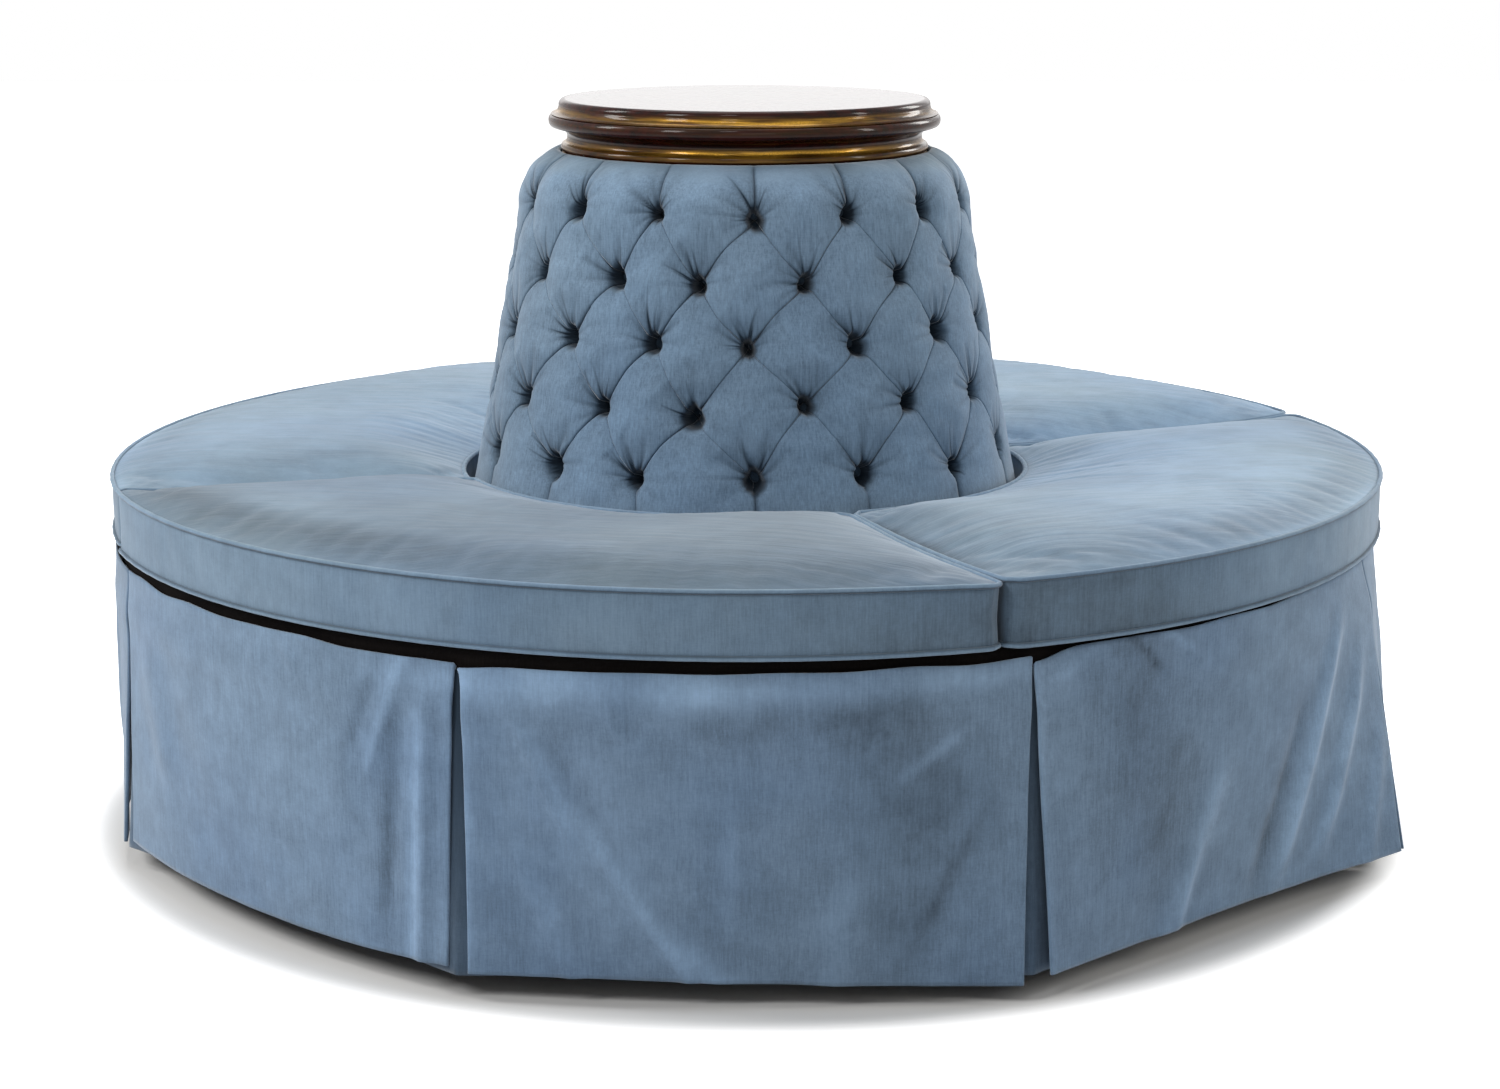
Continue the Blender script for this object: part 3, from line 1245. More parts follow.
    def rumple(self, mesh: Mesh) -> None:
        """Add soft unevenness to the top, and puckers and fanned wrinkles at its corners."""
        points = read_points(mesh)
        radius, angle = self.polar(points)
        depth = self.radius - self.bore
        across, share = (radius - self.bore) / depth, angle / self.half_angle
        top = held((points[:, 2] - self.deck(radius) - self.boxing * 0.75) / (self.boxing * 0.25))
        inside = held((1 - np.abs(share)) / 0.10) * held((1 - np.abs(2 * across - 1)) / 0.12)
        x, y = points[:, 0], points[:, 1]
        soft = 2.2 * MM * smooth_random(self.seed, x * 7 + 40, y * 7 + 40)
        soft += 0.8 * MM * smooth_random(self.seed + 1, x * 22 + 40, y * 22 + 40)
        ripple = np.zeros_like(x)
        for side in (-1, 1):
            for end in (0.0, 1.0):
                along, inward = (share - side) * self.half_angle * radius, (across - end) * depth
                wave = np.cos(np.arctan2(np.abs(inward), np.abs(along)) * 17 + self.seed + 3 * end + side)
                ripple += 0.9 * MM * wave * bell(np.hypot(along, inward) - 0.045, 0.035)
        if self.fan_wrinkles:
            along = (share + 1) * self.half_angle * radius
            bend = np.hypot(along - 0.02, (1 - across) * depth * 1.5 + 0.05)
            wave = np.sin(bend * 2 * math.pi / 0.024 + 2.0 * np.sin(along * 9))
            patch = 0.5 + 0.5 * smooth_random(self.seed + 2, x * 14 + 40, y * 14 + 40)
            ripple += 0.7 * MM * wave * patch * bell(bend - 0.20, 0.09) * (along < 0.5)
        points[:, 2] += (soft * inside + ripple * held(inside * 1.5)) * top
        write_points(mesh, points)

    def seam_loops(self, mesh: Mesh) -> list[list[Vector]]:
        """Follow the two seams round the cushion, the lower one first."""
        bm = bmesh.new()
        bm.from_mesh(mesh)
        crease = bm.edges.layers.float.get("crease_edge")
        left = {edge for edge in bm.edges if edge[crease] > 0.5}
        loops = []
        while left:
            edge = min(left, key=lambda item: item.index)
            vert = edge.verts[0]
            loop = []
            while edge is not None:
                left.discard(edge)
                loop.append(vert.co.copy())
                vert = edge.other_vert(vert)
                edge = next((item for item in vert.link_edges if item in left), None)
            loops.append(loop)
        bm.free()
        return sorted(loops, key=lambda loop: sum(point.z for point in loop) / len(loop))

    def welt(self, loop: list[Vector], rise: float) -> Mesh:
        """Make the self welt along a seam, standing a little proud of it."""
        curve = bpy.data.curves.new("welt", "CURVE")
        curve.dimensions = "3D"
        curve.bevel_depth = self.welt_radius
        curve.bevel_resolution = 2
        spline = curve.splines.new("POLY")
        spline.points.add(len(loop) - 1)
        spline.use_cyclic_u = True
        middle = Vector((math.sin(self.centre), -math.cos(self.centre), 0)) * (self.radius + self.bore) / 2
        for index, point in enumerate(loop):
            along = (loop[(index + 1) % len(loop)] - loop[index - 1]).normalized()
            outward = along.cross(Vector((0, 0, 1)))
            if outward.dot(point - middle) < 0:
                outward = -outward
            wobble = 0.25 * MM * math.sin(index * 0.9 + self.seed)
            spline.points[index].co = (*(point + outward * (0.3 * MM + wobble) + Vector((0, 0, rise))), 1.0)
        holder = link_new("welt", curve)
        bpy.context.view_layer.update()
        mesh = bpy.data.meshes.new_from_object(holder.evaluated_get(bpy.context.evaluated_depsgraph_get()))
        bpy.data.objects.remove(holder)
        return mesh

    def build(self, finish: Material, welt_finish: Material) -> None:
        """Make the cushion and its welts."""
        mesh = self.start_mesh()
        self.shape(mesh)
        piece = link_piece(mesh, f"seat_cushion_{self.side}", finish)
        self.fill(piece)
        self.settle(mesh)
        modifier = piece.modifiers.new("smooth", "SUBSURF")
        modifier.levels = modifier.render_levels = 1
        fine = bpy.data.meshes.new_from_object(piece.evaluated_get(bpy.context.evaluated_depsgraph_get()))
        piece.modifiers.clear()
        piece.data = fine
        self.rumple(fine)
        self.settle(fine)
        loops = self.seam_loops(fine)
        self.shade_seams(fine, loops)
        self.brush(fine)
        fine.set_sharp_from_angle(angle=math.radians(45))
        nodes = (f"cushion_cover_{self.side}", f"cushion_core_{self.side}")
        seat(piece, self.body, nodes)
        bm = bmesh.new()
        for loop, rise in zip(loops, (self.welt_rise, 0.0)):
            bm.from_mesh(self.welt(loop, rise))
        welts = mesh_from(bm, f"welts_{self.side}")
        self.shade_welts(welts, loops)
        seat(link_piece(welts, f"cushion_welts_{self.side}", welt_finish), self.body)

    def shade_welts(self, welts: Mesh, loops: list[list[Vector]]) -> None:
        """Paint the stitched side of each welt: under the upper one and over the lower one."""
        points = read_points(welts)
        fold = np.zeros(len(points))
        lower, upper = (np.array([tuple(point) for point in loop]) for loop in loops)
        for index, point in enumerate(points):
            below, above = (
                point[2] - seam[int(np.argmin(np.hypot(*(seam[:, :2] - point[:2]).T))), 2]
                for seam in (lower, upper)
            )
            if abs(above) < abs(below):
                fold[index] = 0.95 * float((above - self.welt_rise) / self.welt_radius < -0.30)
            else:
                fold[index] = 0.60 * float(below / self.welt_radius > 0.65)
        paint(welts, "fold", fold)

    def shade_seams(self, mesh: Mesh, loops: list[list[Vector]]) -> None:
        """Paint the crease that lies along both sides of each welt."""
        points = read_points(mesh)
        fold = np.zeros(len(points))
        seams = np.array([point for loop in loops for point in loop])
        for start in range(0, len(points), 4000):
            block = points[start : start + 4000]
            distance = np.sqrt(((block[:, None, :] - seams[None, :, :]) ** 2).sum(axis=2)).min(axis=1)
            fold[start : start + 4000] = 0.70 * bell(distance, 3.6 * MM)
        paint(mesh, "fold", fold)

    def brush(self, mesh: Mesh) -> None:
        """Paint where the nap reads lighter or darker: the rim, the strokes and the shaded ends."""
        points = read_points(mesh)
        radius, angle = self.polar(points)
        top = ease(held((points[:, 2] - self.deck(radius) - self.boxing * 0.9) / 0.006))
        rim = self.radius - radius
        across = (angle / self.half_angle + 1) / 2
        size = (2 * self.half_angle * (self.radius + self.bore) / 2, self.radius - self.bore)
        brushing = 0.20 * bell(rim - 0.004, 0.009) - 0.12 * bell(rim - 0.050, 0.030)
        for stroke in self.strokes:
            brushing += stroke.shade * stroke.share(across, 1 - rim / size[1], size)
        ends = self.end_shade[0] * np.exp(-((across * size[0] / 0.20) ** 4))
        ends += self.end_shade[1] * np.exp(-(((1 - across) * size[0] / 0.16) ** 2))
        paint(mesh, "brushing", brushing * top - ends * (1 - top))


@dataclass
class SkirtPanel:
    """Hanging panel between two corner pleats, with both its ends folded back behind it."""

    index: int
    bulge: float = 0.35
    left_flare: float = 0.0
    right_flare: float = 0.0
    hem_lift: Point = (0.0, 0.0)
    head_lift: Point = (0.0, 0.0)
    head_swell: float = 0.003
    shade: float = 0.0
    lightness: float = 0.0
    pleat_shade: float = 0.70
    flare_power: float = 1.25
    left_slit: float = 0.014
    right_slit: float = 0.014
    slit_power: Point = (1.0, 1.0)
    droop: Point = (0.0, 0.0)
    drapes: tuple[Drape, ...] = ()
    half_side: float = math.pi / 8
    head_radius: float = 0.8201
    hem_corner: float = 0.845
    head_height: float = 0.3813
    hem_height: float = 0.026
    head_slit: float = 0.0012
    return_width: float = 0.045
    return_drop: float = 0.006
    fold_radius: float = 0.0024
    steps_face: int = 120
    steps_return: int = 10
    steps_fold: int = 6
    steps_down: int = 60
    thickness: float = 0.0016

    def face_radius(self, angle: Array, down: Array) -> Array:
        """Radius of the panel's face, round at the head and nearly straight at the hem."""
        straight = self.hem_corner * math.cos(self.half_side) / np.cos(angle)
        hem = straight + (self.hem_corner - straight) * self.bulge
        across = (angle / self.half_side + 1) / 2
        hem = hem + self.left_flare * (1 - across) ** 3 + self.right_flare * across**3
        return self.head_radius + (hem - self.head_radius) * down**self.flare_power

    def relief(self, across: Array, down: Array) -> Array:
        """How far the soft ridges and the unevenness of the cloth stand out."""
        total = 1.8 * MM * smooth_random(40 + self.index, across * 5, down * 2.4)
        total += 0.6 * MM * smooth_random(60 + self.index, across * 16, down * 7)
        for drape in self.drapes:
            total += drape.height * drape.share(across, down)
        total += self.head_swell * bell(down - 0.13, 0.07)
        return total * held(down * 5)

    def place(self, column: Array, down: Array) -> Array:
        """Hang the flat grid: returns, folds and face.

        Args:
            column: Whole numbers of the grid's columns, from the left.
            down: Shares from 0 at the head to 1 at the hem.

        Returns:
            Rows of x, y, z.
        """
        start = self.steps_return + self.steps_fold
        total = self.steps_face + 2 * start
        mirrored = column > total / 2
        inner = np.where(mirrored, total - column, column)
        folded = held((start - inner) / self.steps_fold)
        slit = np.where(mirrored, self.right_slit, self.left_slit)
        power = np.where(mirrored, self.slit_power[1], self.slit_power[0])
        gap = (self.head_slit + (slit - self.head_slit) * down**power) / 2 + self.fold_radius
        corner = self.face_radius(np.where(mirrored, 1.0, -1.0) * self.half_side, down)
        limit = self.half_side - np.arcsin(gap / corner)
        angle = (2 * held((column - start) / self.steps_face) - 1) * limit
        across = (angle / self.half_side + 1) / 2
        top = self.head_height + self.head_lift[0] * (1 - across) + self.head_lift[1] * across
        top = top - self.droop[0] * bell(across, 0.055) - self.droop[1] * bell(1 - across, 0.055)
        top = top - self.return_drop * folded
        top = top + 2.2 * MM * smooth_random(80 + self.index, across * 9, down * 0) * (1 - down) ** 6
        hem = self.hem_height + 2.5 * MM * smooth_random(90 + self.index, across * 4, down * 0)
        hem = hem + self.hem_lift[0] * (1 - across) + self.hem_lift[1] * across
        radius = self.face_radius(angle, down) + self.relief(across, down)
        points = around(radius, angle, top + (hem - top) * down)
        beside = angle + np.where(mirrored, -1.0, 1.0) * 0.02
        level = np.zeros_like(angle)
        along = around(self.face_radius(beside, down), beside, level)
        along -= around(self.face_radius(angle, down), angle, level)
        along /= np.linalg.norm(along, axis=1, keepdims=True)
        inward = np.column_stack((-along[:, 1], along[:, 0], level))
        inward *= -np.sign((inward * points).sum(axis=1, keepdims=True))
        hidden = held((self.steps_return - inner) / self.steps_return) * self.return_width
        bend = folded * math.pi
        back = (1 - np.cos(bend)) * self.fold_radius
        slack = hidden / self.return_width * 3 * MM * down
        off_face = (inner < start)[:, None]
        points += along * (hidden - np.sin(bend) * self.fold_radius)[:, None] * off_face
        points += inward * (back + slack)[:, None] * off_face
        return points

    def build(self, finish: Material) -> Piece:
        """Make the panel as a sheet of cloth."""
        start = self.steps_return + self.steps_fold
        columns = self.steps_face + 2 * start
        mesh = grid_mesh(f"skirt_{self.index}", columns, self.steps_down)
        unit = read_points(mesh)
        column, down = np.round((unit[:, 0] + 1) / 2 * columns), (1 - unit[:, 1]) / 2
        write_points(mesh, self.place(column, down))
        mesh.transform(Matrix.Rotation((self.index - 1) * EIGHTH_TURN, 4, "Z"))
        edge = np.minimum(column, columns - column)
        paint(mesh, "fold", self.shade + 0.25 * np.clip((start - edge) / self.steps_fold, 0, 1))
        across = held((column - start) / self.steps_face)
        brushing = np.full_like(across, self.lightness)
        for drape in self.drapes:
            brushing += drape.shade * drape.share(across, down)
        paint(mesh, "brushing", brushing)
        face_width = 2 * (self.head_radius + self.hem_corner) / 2 * math.sin(self.half_side)
        flat_width = face_width + 2 * (self.return_width + math.pi * self.fold_radius)
        flat = (round(flat_width, 3), round(self.head_height - self.hem_height, 3))
        name = f"skirt_cloth_{self.index}"
        return hang(mesh, name, finish, self.thickness, f"skirt_panel_{self.index}")


@dataclass
class PleatUnderlay:
    """Strip of the same cloth that hangs behind a corner pleat."""

    index: int
    shade: float
    half_side: float = math.pi / 8
    width: float = 0.130
    head_radius: float = 0.8143
    hem_corner: float = 0.834
    head_height: float = 0.3750
    hem_height: float = 0.028
    steps_round: int = 24
    steps_down: int = 40
    thickness: float = 0.0014

    def build(self, finish: Material) -> Piece:
        """Make the strip as a sheet of cloth."""
        mesh = grid_mesh(f"underlay_{self.index}", self.steps_round, self.steps_down)
        unit = read_points(mesh)
        share, down = unit[:, 0], (1 - unit[:, 1]) / 2
        angle = share * self.width / 2 / self.hem_corner
        straight = self.hem_corner * math.cos(self.half_side) / np.cos(self.half_side - np.abs(angle))
        radius = self.head_radius + (straight - self.head_radius) * down**1.25
        radius = radius + MM * smooth_random(120 + self.index, share * 3, down * 3) * down
        height = self.head_height + (self.hem_height - self.head_height) * down
        turn = (self.index - 1) * EIGHTH_TURN + self.half_side
        write_points(mesh, around(radius, turn + angle, height))
        paint(mesh, "fold", self.shade * (1.0 - 0.35 * down))
        flat = (self.width, round(self.head_height - self.hem_height, 3))
        name = f"underlay_cloth_{self.index}"
        return hang(mesh, name, finish, self.thickness, f"pleat_underlay_{self.index}")


@dataclass
class Deck:
    """Padded deck under the cushions and the dust cover under the frame."""

    board_radius: float = 0.8003
    lip_radius: float = 0.812
    roll: float = 0.018
    bore: float = 0.362
    base: float = 0.3746
    lip_base: float = 0.3603
    edge_top: float = 0.4018
    bore_top: float = 0.3858
    steps: int = 192
    dust_bore: float = 0.0365
    dust_sag: float = 0.007
    dust_rings: int = 24
    dust_steps: int = 96

    def build_padding(self, finish: Material) -> None:
        """Make the padding with its rolled edge."""
        rolled = arc((self.lip_radius - self.roll, self.edge_top - self.roll), self.roll, self.roll, 0, 90, 8)
        profile = [
            (self.board_radius, self.base),
            (self.board_radius, self.lip_base),
            (self.lip_radius, self.lip_base),
            *rolled,
        ]
        for share in (0.8, 0.6, 0.4, 0.2, 0.0):
            radius = self.bore + (rolled[-1][0] - self.bore) * share
            profile.append((radius, self.bore_top + (self.edge_top - self.bore_top) * share))
        profile.append((self.bore, self.base))
        mesh = turned_mesh(profile, self.steps, "deck_padding", closed=True)
        piece = link_piece(mesh, "deck_padding", finish)
        seat(piece, Body.FRAME, ("deck_pad",))

    def build_dust_cover(self, finish: Material) -> None:
        """Make the cloth under the frame, sagging a little between the rails."""
        _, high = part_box("dust_cover")
        radius = high[0] - MM
        profile = []
        for ring in range(self.dust_rings + 1):
            share = ring / self.dust_rings
            sag = self.dust_sag * math.sin(math.pi * share) ** 2
            profile.append((self.dust_bore + (radius - self.dust_bore) * share, high[2] - 0.0004 - sag))
        bm = spin_outline(profile, self.dust_steps)
        bmesh.ops.recalc_face_normals(bm, faces=bm.faces)
        bmesh.ops.reverse_faces(bm, faces=[face for face in bm.faces if face.normal.z > 0])
        piece = link_piece(mesh_from(bm, "dust_cloth"), "dust_cloth", finish)
        seat(piece, Body.FRAME, ("dust_cover",))


@dataclass(frozen=True)
class Lamp:
    """Soft box: its name, place, size, power in watts and colour."""

    name: str
    place: Triple
    size: Point
    power: float
    colour: Colour = (1.0, 1.0, 1.0)


@dataclass
class Studio:
    """Pale floor, soft lamps and the camera of the photograph."""

    camera_place: Triple = (0.0, -3.920, 1.2224)
    camera_pitch: float = math.pi / 2 - 0.2204
    camera_roll: float = -0.0018
    lens: float = 72.28
    aim: Triple = (0.0, 0.0, 0.45)
    lamps: tuple[Lamp, ...] = (
        Lamp("left", (-3.8, 0.0, 2.8), (0.8, 1.6), 84.0, (1.0, 0.99, 0.97)),
        Lamp("front_left", (-2.7, -2.8, 3.0), (0.8, 1.4), 66.0, (1.0, 0.99, 0.97)),
        Lamp("front_top", (-0.5, -2.7, 3.3), (0.5, 0.5), 9.0),
        Lamp("overhead", (-0.2, 0.5, 3.6), (2.4, 2.4), 60.0),
        Lamp("right_fill", (3.7, -1.0, 2.0), (0.5, 1.6), 40.0, (1.0, 0.98, 0.93)),
        Lamp("back", (0.0, 4.2, 1.9), (4.0, 1.6), 18.0),
        Lamp("back_right", (3.0, 2.4, 2.1), (1.0, 1.4), 60.0, (1.0, 0.99, 0.96)),
        Lamp("front_fill", (0.6, -4.6, 1.9), (1.6, 1.6), 8.0, (1.0, 0.98, 0.93)),
    )

    def build_floor(self) -> None:
        """Lay the pale floor, which keeps the settee's shadow and reads white round it."""
        bm = bmesh.new()
        bmesh.ops.create_grid(bm, x_segments=8, y_segments=8, size=14.0)
        material, nodes, shader = new_material("pale_floor")
        place = nodes.place()
        tone = nodes.noise(place, 3.0, 3.0, 0.5).span(0.2, 0.8)
        nodes.fill(shader, Base_Color=nodes.blend(tone, (0.76, 0.76, 0.76), (0.80, 0.80, 0.80)))
        nodes.fill(shader, Roughness=0.9, Specular_IOR_Level=0.1)
        spread = nodes.add("VectorMath", place, operation="LENGTH")["Value"].span(0.83, 0.91)
        glow = nodes.add("Emission", Strength=nodes.seen() * spread)["Emission"]
        both = nodes.add("AddShader", Signal(shader.outputs[0]), glow)["Shader"]
        nodes.fill(nodes.tree.nodes["Material Output"], Surface=both)
        link_piece(mesh_from(bm, "floor", smooth=False), "floor", material)

    def build_world(self) -> None:
        """Give soft light from all round, and a white background."""
        world = bpy.data.worlds.new("studio")
        bpy.context.scene.world = world
        world.use_nodes = True
        nodes = Nodes(world.node_tree)
        backdrop = world.node_tree.nodes["Background"]
        nodes.fill(backdrop, Color=(1.0, 1.0, 1.0), Strength=nodes.seen() * 0.82 + 0.18)

    def build_lamps(self) -> None:
        """Hang the soft boxes and aim them at the settee."""
        for lamp in self.lamps:
            data = bpy.data.lights.new(lamp.name, "AREA")
            data.shape = "RECTANGLE"
            data.size, data.size_y = lamp.size
            data.energy, data.color = lamp.power, lamp.colour
            box = link_new(lamp.name, data)
            box.location = lamp.place
            box.rotation_euler = (Vector(self.aim) - Vector(lamp.place)).to_track_quat("-Z", "Y").to_euler()

    def build_camera(self) -> None:
        """Place the camera where the photograph was taken from."""
        data = bpy.data.cameras.new("photograph")
        data.sensor_fit, data.sensor_width, data.lens = "HORIZONTAL", 36.0, self.lens
        camera = link_new("photograph", data)
        camera.location = self.camera_place
        camera.rotation_euler = (self.camera_pitch, 0.0, self.camera_roll)
        bpy.context.scene.camera = camera

    def build(self) -> None:
        """Set up the whole studio."""
        bpy.context.scene.view_settings.view_transform = "Standard"
        self.build_floor()
        self.build_world()
        self.build_lamps()
        self.build_camera()


def dress_carcass(wood: Material) -> None:
    """Give the solids that stay their finishes, the legs in polished wood."""
    softwood = Timber("planed_softwood").build()
    plywood = Timber("plywood", (0.600, 0.430, 0.260), (0.420, 0.270, 0.140), plies=55.0).build()
    steel = ZincSteel("zinc_plate").build()
    foam = PlainCloth("seat_foam", (0.80, 0.72, 0.48), (0.70, 0.62, 0.40)).build()
    rules = (
        (("leg_", "centre_leg"), wood),
        (("rail_", "cross_beam_"), softwood),
        (("deck_board_", "column_"), plywood),
        (("top_screw_",), steel),
        (("cushion_core_",), foam),
    )
    for name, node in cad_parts.items():
        for starts, material in rules:
            if name.startswith(starts):
                node.data.materials.clear()
                node.data.materials.append(material)


def drapes(*rows: tuple[float, ...]) -> tuple[Drape, ...]:
    """Drapes from rows of start across and down, end across and down, width, height and shade."""
    return tuple(Drape(row[:2], row[2:4], *row[4:]) for row in rows)


CUSHION_PLAN = (
    SeatCushion(
        "front", Body.CUSHION_FRONT, math.radians(-25), 3,
        corner_drop=0.005, stroke_turn=0.15, top_shade=0.60, side_shade=0.93, end_shade=(0.0, 0.45),
        strokes=drapes(
            (0.24, -0.30, 0.26, 1.20, 0.150, 0.0, 0.34),
            (-0.15, 0.88, 0.55, 0.86, 0.035, 0.0, -0.26),
            (0.80, -0.20, 0.84, 1.20, 0.100, 0.0, -0.10),
        ),
    ),
    SeatCushion(
        "right", Body.CUSHION_RIGHT, math.radians(65), 5,
        stroke_turn=-0.25, fan_wrinkles=True, far_drop=0.008, side_shade=0.96, end_shade=(0.50, 0.0),
        strokes=drapes(
            (0.62, -0.60, 0.66, 1.40, 0.300, 0.0, 0.30),
            (0.02, -0.40, 0.05, 1.40, 0.130, 0.0, -0.22),
            (0.02, 0.93, 1.20, 0.93, 0.035, 0.0, -0.22),
            (0.0, -0.10, 0.0, 1.10, 0.014, 0.0, -0.50),
        ),
    ),
    SeatCushion(
        "back", Body.CUSHION_BACK, math.radians(155), 8,
        stroke_turn=0.3, top_shade=1.25, radius=0.822, boxing=0.067,
    ),
    SeatCushion(
        "left", Body.CUSHION_LEFT, math.radians(245), 13,
        stroke_turn=-0.1, top_shade=1.03, side_shade=0.76, radius=0.820, boxing=0.067,
        strokes=drapes((0.84, 0.00, 0.94, 0.80, 0.030, 0.0, -0.14)),
    ),
)

SKIRT_PLAN = (
    SkirtPanel(
        1, bulge=0.28, left_flare=-0.010, right_flare=0.007, left_slit=0.024, right_slit=0.034,
        slit_power=(0.4, 1.0), droop=(0.004, 0.0), head_lift=(0.0, 0.007), hem_lift=(0.006, -0.002), shade=0.12,
        drapes=drapes(
            (0.24, 0.00, 0.30, 0.24, 0.007, 0.006),
            (0.24, 0.00, 0.37, 0.16, 0.007, 0.005),
            (0.24, 0.00, 0.16, 0.14, 0.006, 0.003),
            (-0.20, 0.03, 0.56, 0.05, 0.024, 0.0, 0.52),
            (0.25, 0.07, 1.15, 0.03, 0.014, 0.0, 0.36),
            (0.00, -0.40, 0.00, 1.40, 0.009, 0.0, 0.30),
            (-0.20, 0.45, 0.50, 0.60, 0.120, 0.0, 0.16),
            (0.08, 0.06, 0.22, 0.62, 0.007, 0.0045, 0.28),
            (0.17, 0.36, 0.46, 1.16, 0.008, 0.0050, 0.34),
            (0.13, 0.12, 0.27, 0.60, 0.013, -0.0030, -0.14),
            (0.08, 0.48, 0.25, 1.24, 0.010, 0.0040, 0.26),
            (0.482, 0.32, 0.474, 0.90, 0.009, 0.0025, 0.30),
            (0.36, 0.84, 0.53, 1.14, 0.016, 0.0035, 0.50),
            (0.68, 0.00, 0.86, 0.58, 0.060, 0.0, -0.34),
            (0.86, 0.20, 0.74, 1.00, 0.050, 0.0, -0.22),
            (0.74, 0.38, 0.90, 0.18, 0.008, 0.0020, 0.36),
            (0.95, 0.35, 0.76, 1.05, 0.012, -0.0030, -0.34),
            (0.70, 0.55, 0.63, 1.25, 0.022, 0.0035, 0.22),
            (0.32, 0.17, 0.80, 0.15, 0.018, 0.0, -0.15),
        ),
    ),
    SkirtPanel(
        2, bulge=0.22, left_flare=0.007, right_flare=0.049, flare_power=0.95, left_slit=0.034, right_slit=0.016,
        hem_lift=(0.003, 0.006), head_lift=(0.0145, 0.0165), droop=(0.015, 0.0),
        drapes=drapes(
            (0.86, 0.00, 0.60, 1.10, 0.014, 0.0065, 0.46),
            (0.72, 0.30, 0.55, 1.05, 0.014, -0.0040, -0.36),
            (0.94, 0.22, 0.74, 1.00, 0.013, 0.0060, 0.36),
            (0.98, 0.50, 0.88, 1.10, 0.012, 0.0040, 0.26),
            (0.48, 0.40, 0.26, 1.20, 0.020, 0.0045, 0.32),
            (0.40, 0.70, 0.32, 1.15, 0.010, 0.0030, 0.22),
            (0.16, -0.15, 0.32, 1.00, 0.075, 0.0, -0.36),
            (0.00, -0.40, 0.00, 1.40, 0.007, 0.0, 0.20),
            (0.17, -0.05, 0.29, 0.16, 0.007, -0.0040, -0.30),
            (0.19, -0.10, 0.40, 0.14, 0.006, 0.0050, 0.34),
            (0.17, -0.02, 0.02, 0.10, 0.008, 0.0040, 0.24),
        ),
    ),
    SkirtPanel(
        3, bulge=0.30, left_slit=0.018, left_flare=0.049, flare_power=0.95, head_lift=(0.0165, 0.006),
        drapes=drapes((0.20, 0.1, 0.12, 0.95, 0.024, 0.006), (0.70, 0.2, 0.62, 0.9, 0.03, 0.004)),
    ),
    SkirtPanel(4, bulge=0.40, drapes=drapes((0.30, 0.1, 0.36, 0.95, 0.03, 0.005))),
    SkirtPanel(5, bulge=0.34, drapes=drapes((0.62, 0.0, 0.55, 0.9, 0.02, 0.005))),
    SkirtPanel(6, bulge=0.30, drapes=drapes((0.40, 0.1, 0.48, 0.95, 0.03, 0.006))),
    SkirtPanel(
        7, bulge=0.55, right_flare=-0.004, hem_lift=(0.0, 0.006), lightness=-0.12,
        drapes=drapes((0.75, 0.1, 0.70, 0.9, 0.02, 0.005)),
    ),
    SkirtPanel(
        8, bulge=0.55, left_flare=-0.013, right_flare=-0.010, right_slit=0.024, slit_power=(1.0, 0.4),
        droop=(0.0, 0.003), hem_lift=(0.010, 0.011), head_lift=(0.003, 0.003), pleat_shade=1.0,
        drapes=drapes(
            (0.940, 0.02, 0.925, 1.30, 0.010, 0.0060, 0.44),
            (0.895, 0.06, 0.850, 1.00, 0.012, -0.0035, -0.34),
            (0.920, -0.10, 0.800, 0.50, 0.008, 0.0030, 0.30),
            (0.875, -0.10, 0.765, 0.42, 0.009, -0.0020, -0.24),
            (0.76, 0.06, 1.10, 0.06, 0.016, 0.0, 0.24),
            (0.60, 0.00, 0.66, 0.12, 0.007, 0.0045),
            (0.60, 0.00, 0.52, 0.12, 0.007, 0.0035),
            (0.10, 0.15, 0.24, 0.75, 0.034, 0.0045),
        ),
    ),
)


def main() -> None:
    """Dress the frame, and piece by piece."""
    logging.basicConfig(level=logging.INFO, format="%(name)s: %(message)s")
    Studio().build()
    column = TuftedColumn()
    column_cloth = ButtonedVelvet(
        "column_velvet",
        side_shade=1.10,
        top_shade=1.04,
        nap_contrast=0.35,
        stroke_contrast=0.0,
        slub_contrast=0.50,
        grain_contrast=0.26,
        buttons_round=column.buttons_round,
        spacing=column.spacing * column.shoulder_radius,
        row_spacing=column.row_spacing,
        last_row=column.button_rows - 1.0,
    ).build()
    skirt_cloth = Velvet(
        "skirt_velvet",
        face=(0.140, 0.218, 0.335),
        brushed=(0.205, 0.295, 0.415),
        nap_contrast=0.45,
        stroke_contrast=0.0,
        slub_contrast=0.34,
        mottle_contrast=0.24,
        grain_contrast=0.30,
    ).build()
    welt_cloth = Velvet("welt_velvet", nap_contrast=0.30, stroke_contrast=0.1).build()
    wood = Mahogany("gilded_mahogany").build()
    deck_cloth = PlainCloth("deck_cloth", (0.005, 0.004, 0.004), (0.016, 0.013, 0.012)).build()
    dust_cloth = PlainCloth("dust_cloth", (0.012, 0.012, 0.013), (0.035, 0.035, 0.038)).build()
    column.build_cover(column_cloth)
    column.build_buttons(column_cloth)
    WoodTop().build(wood, Mahogany("polished_face", coat=0.42).build())
    deck = Deck()
    deck.build_padding(deck_cloth)
    deck.build_dust_cover(dust_cloth)
    for cushion in CUSHION_PLAN:
        shades = {"top_shade": cushion.top_shade, "side_shade": cushion.side_shade}
        finish = Velvet(f"velvet_{cushion.side}", stroke_turn=cushion.stroke_turn, **shades)
        cushion.build(finish.build(), welt_cloth)
    for panel in SKIRT_PLAN:
        panel.build(skirt_cloth)
        PleatUnderlay(panel.index, panel.pleat_shade).build(skirt_cloth)
    dress_carcass(wood)
    bpy.context.view_layer.update()


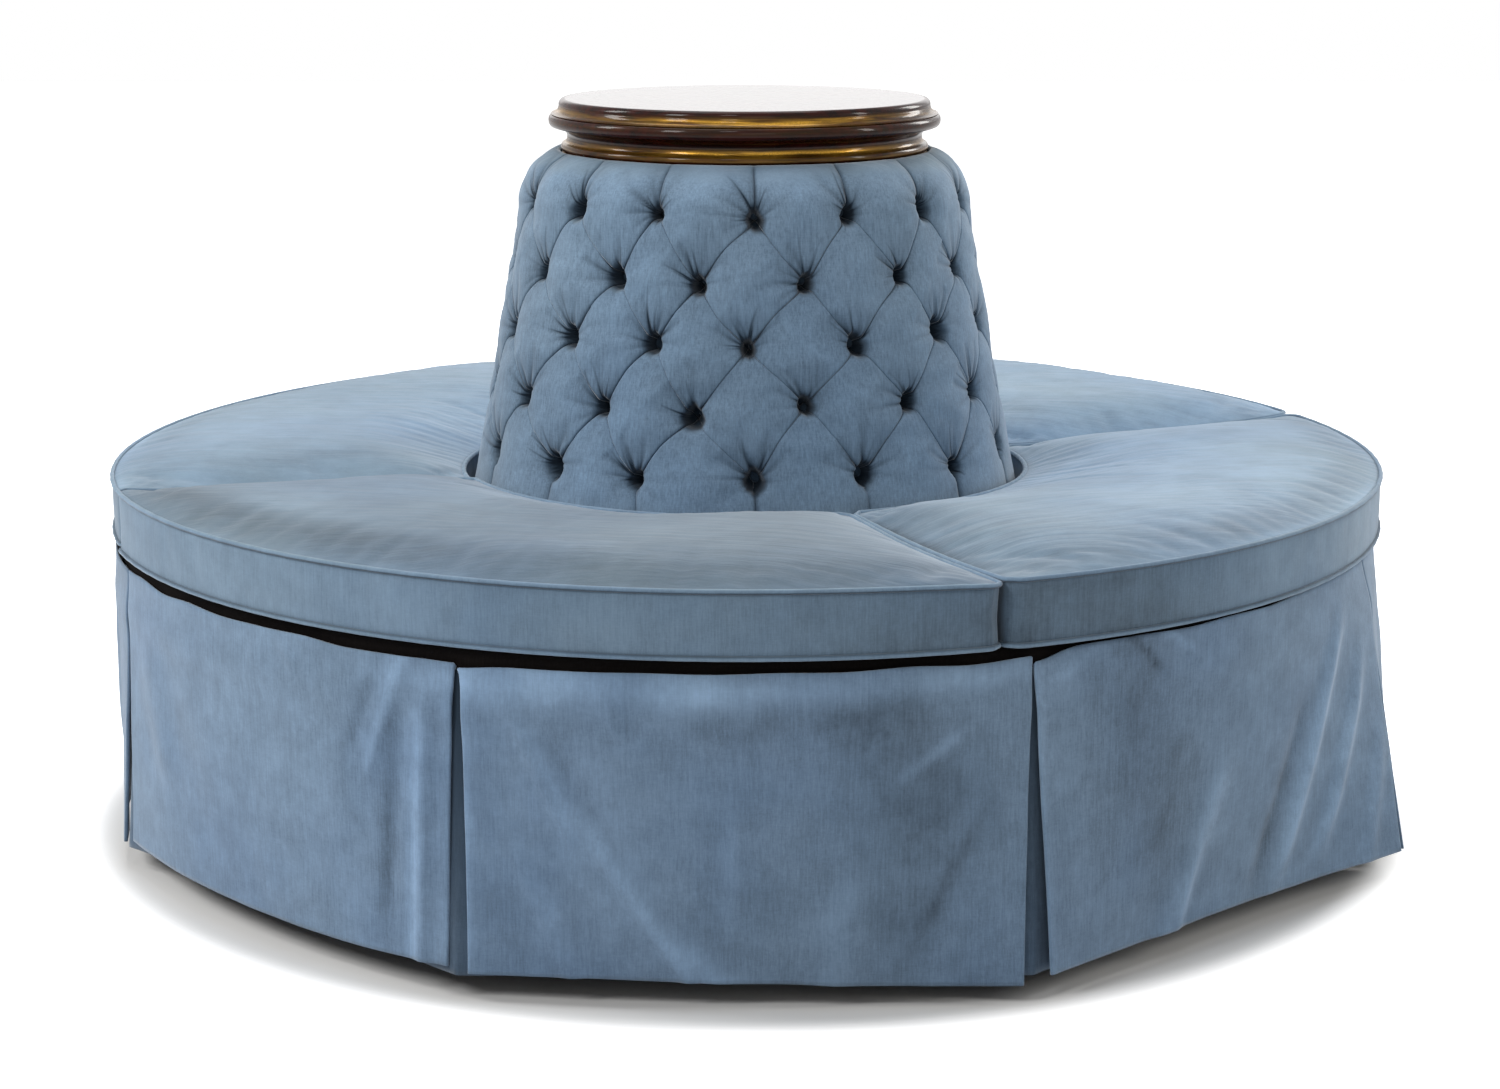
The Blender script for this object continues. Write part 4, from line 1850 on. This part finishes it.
if __name__ == "__main__":
    main()
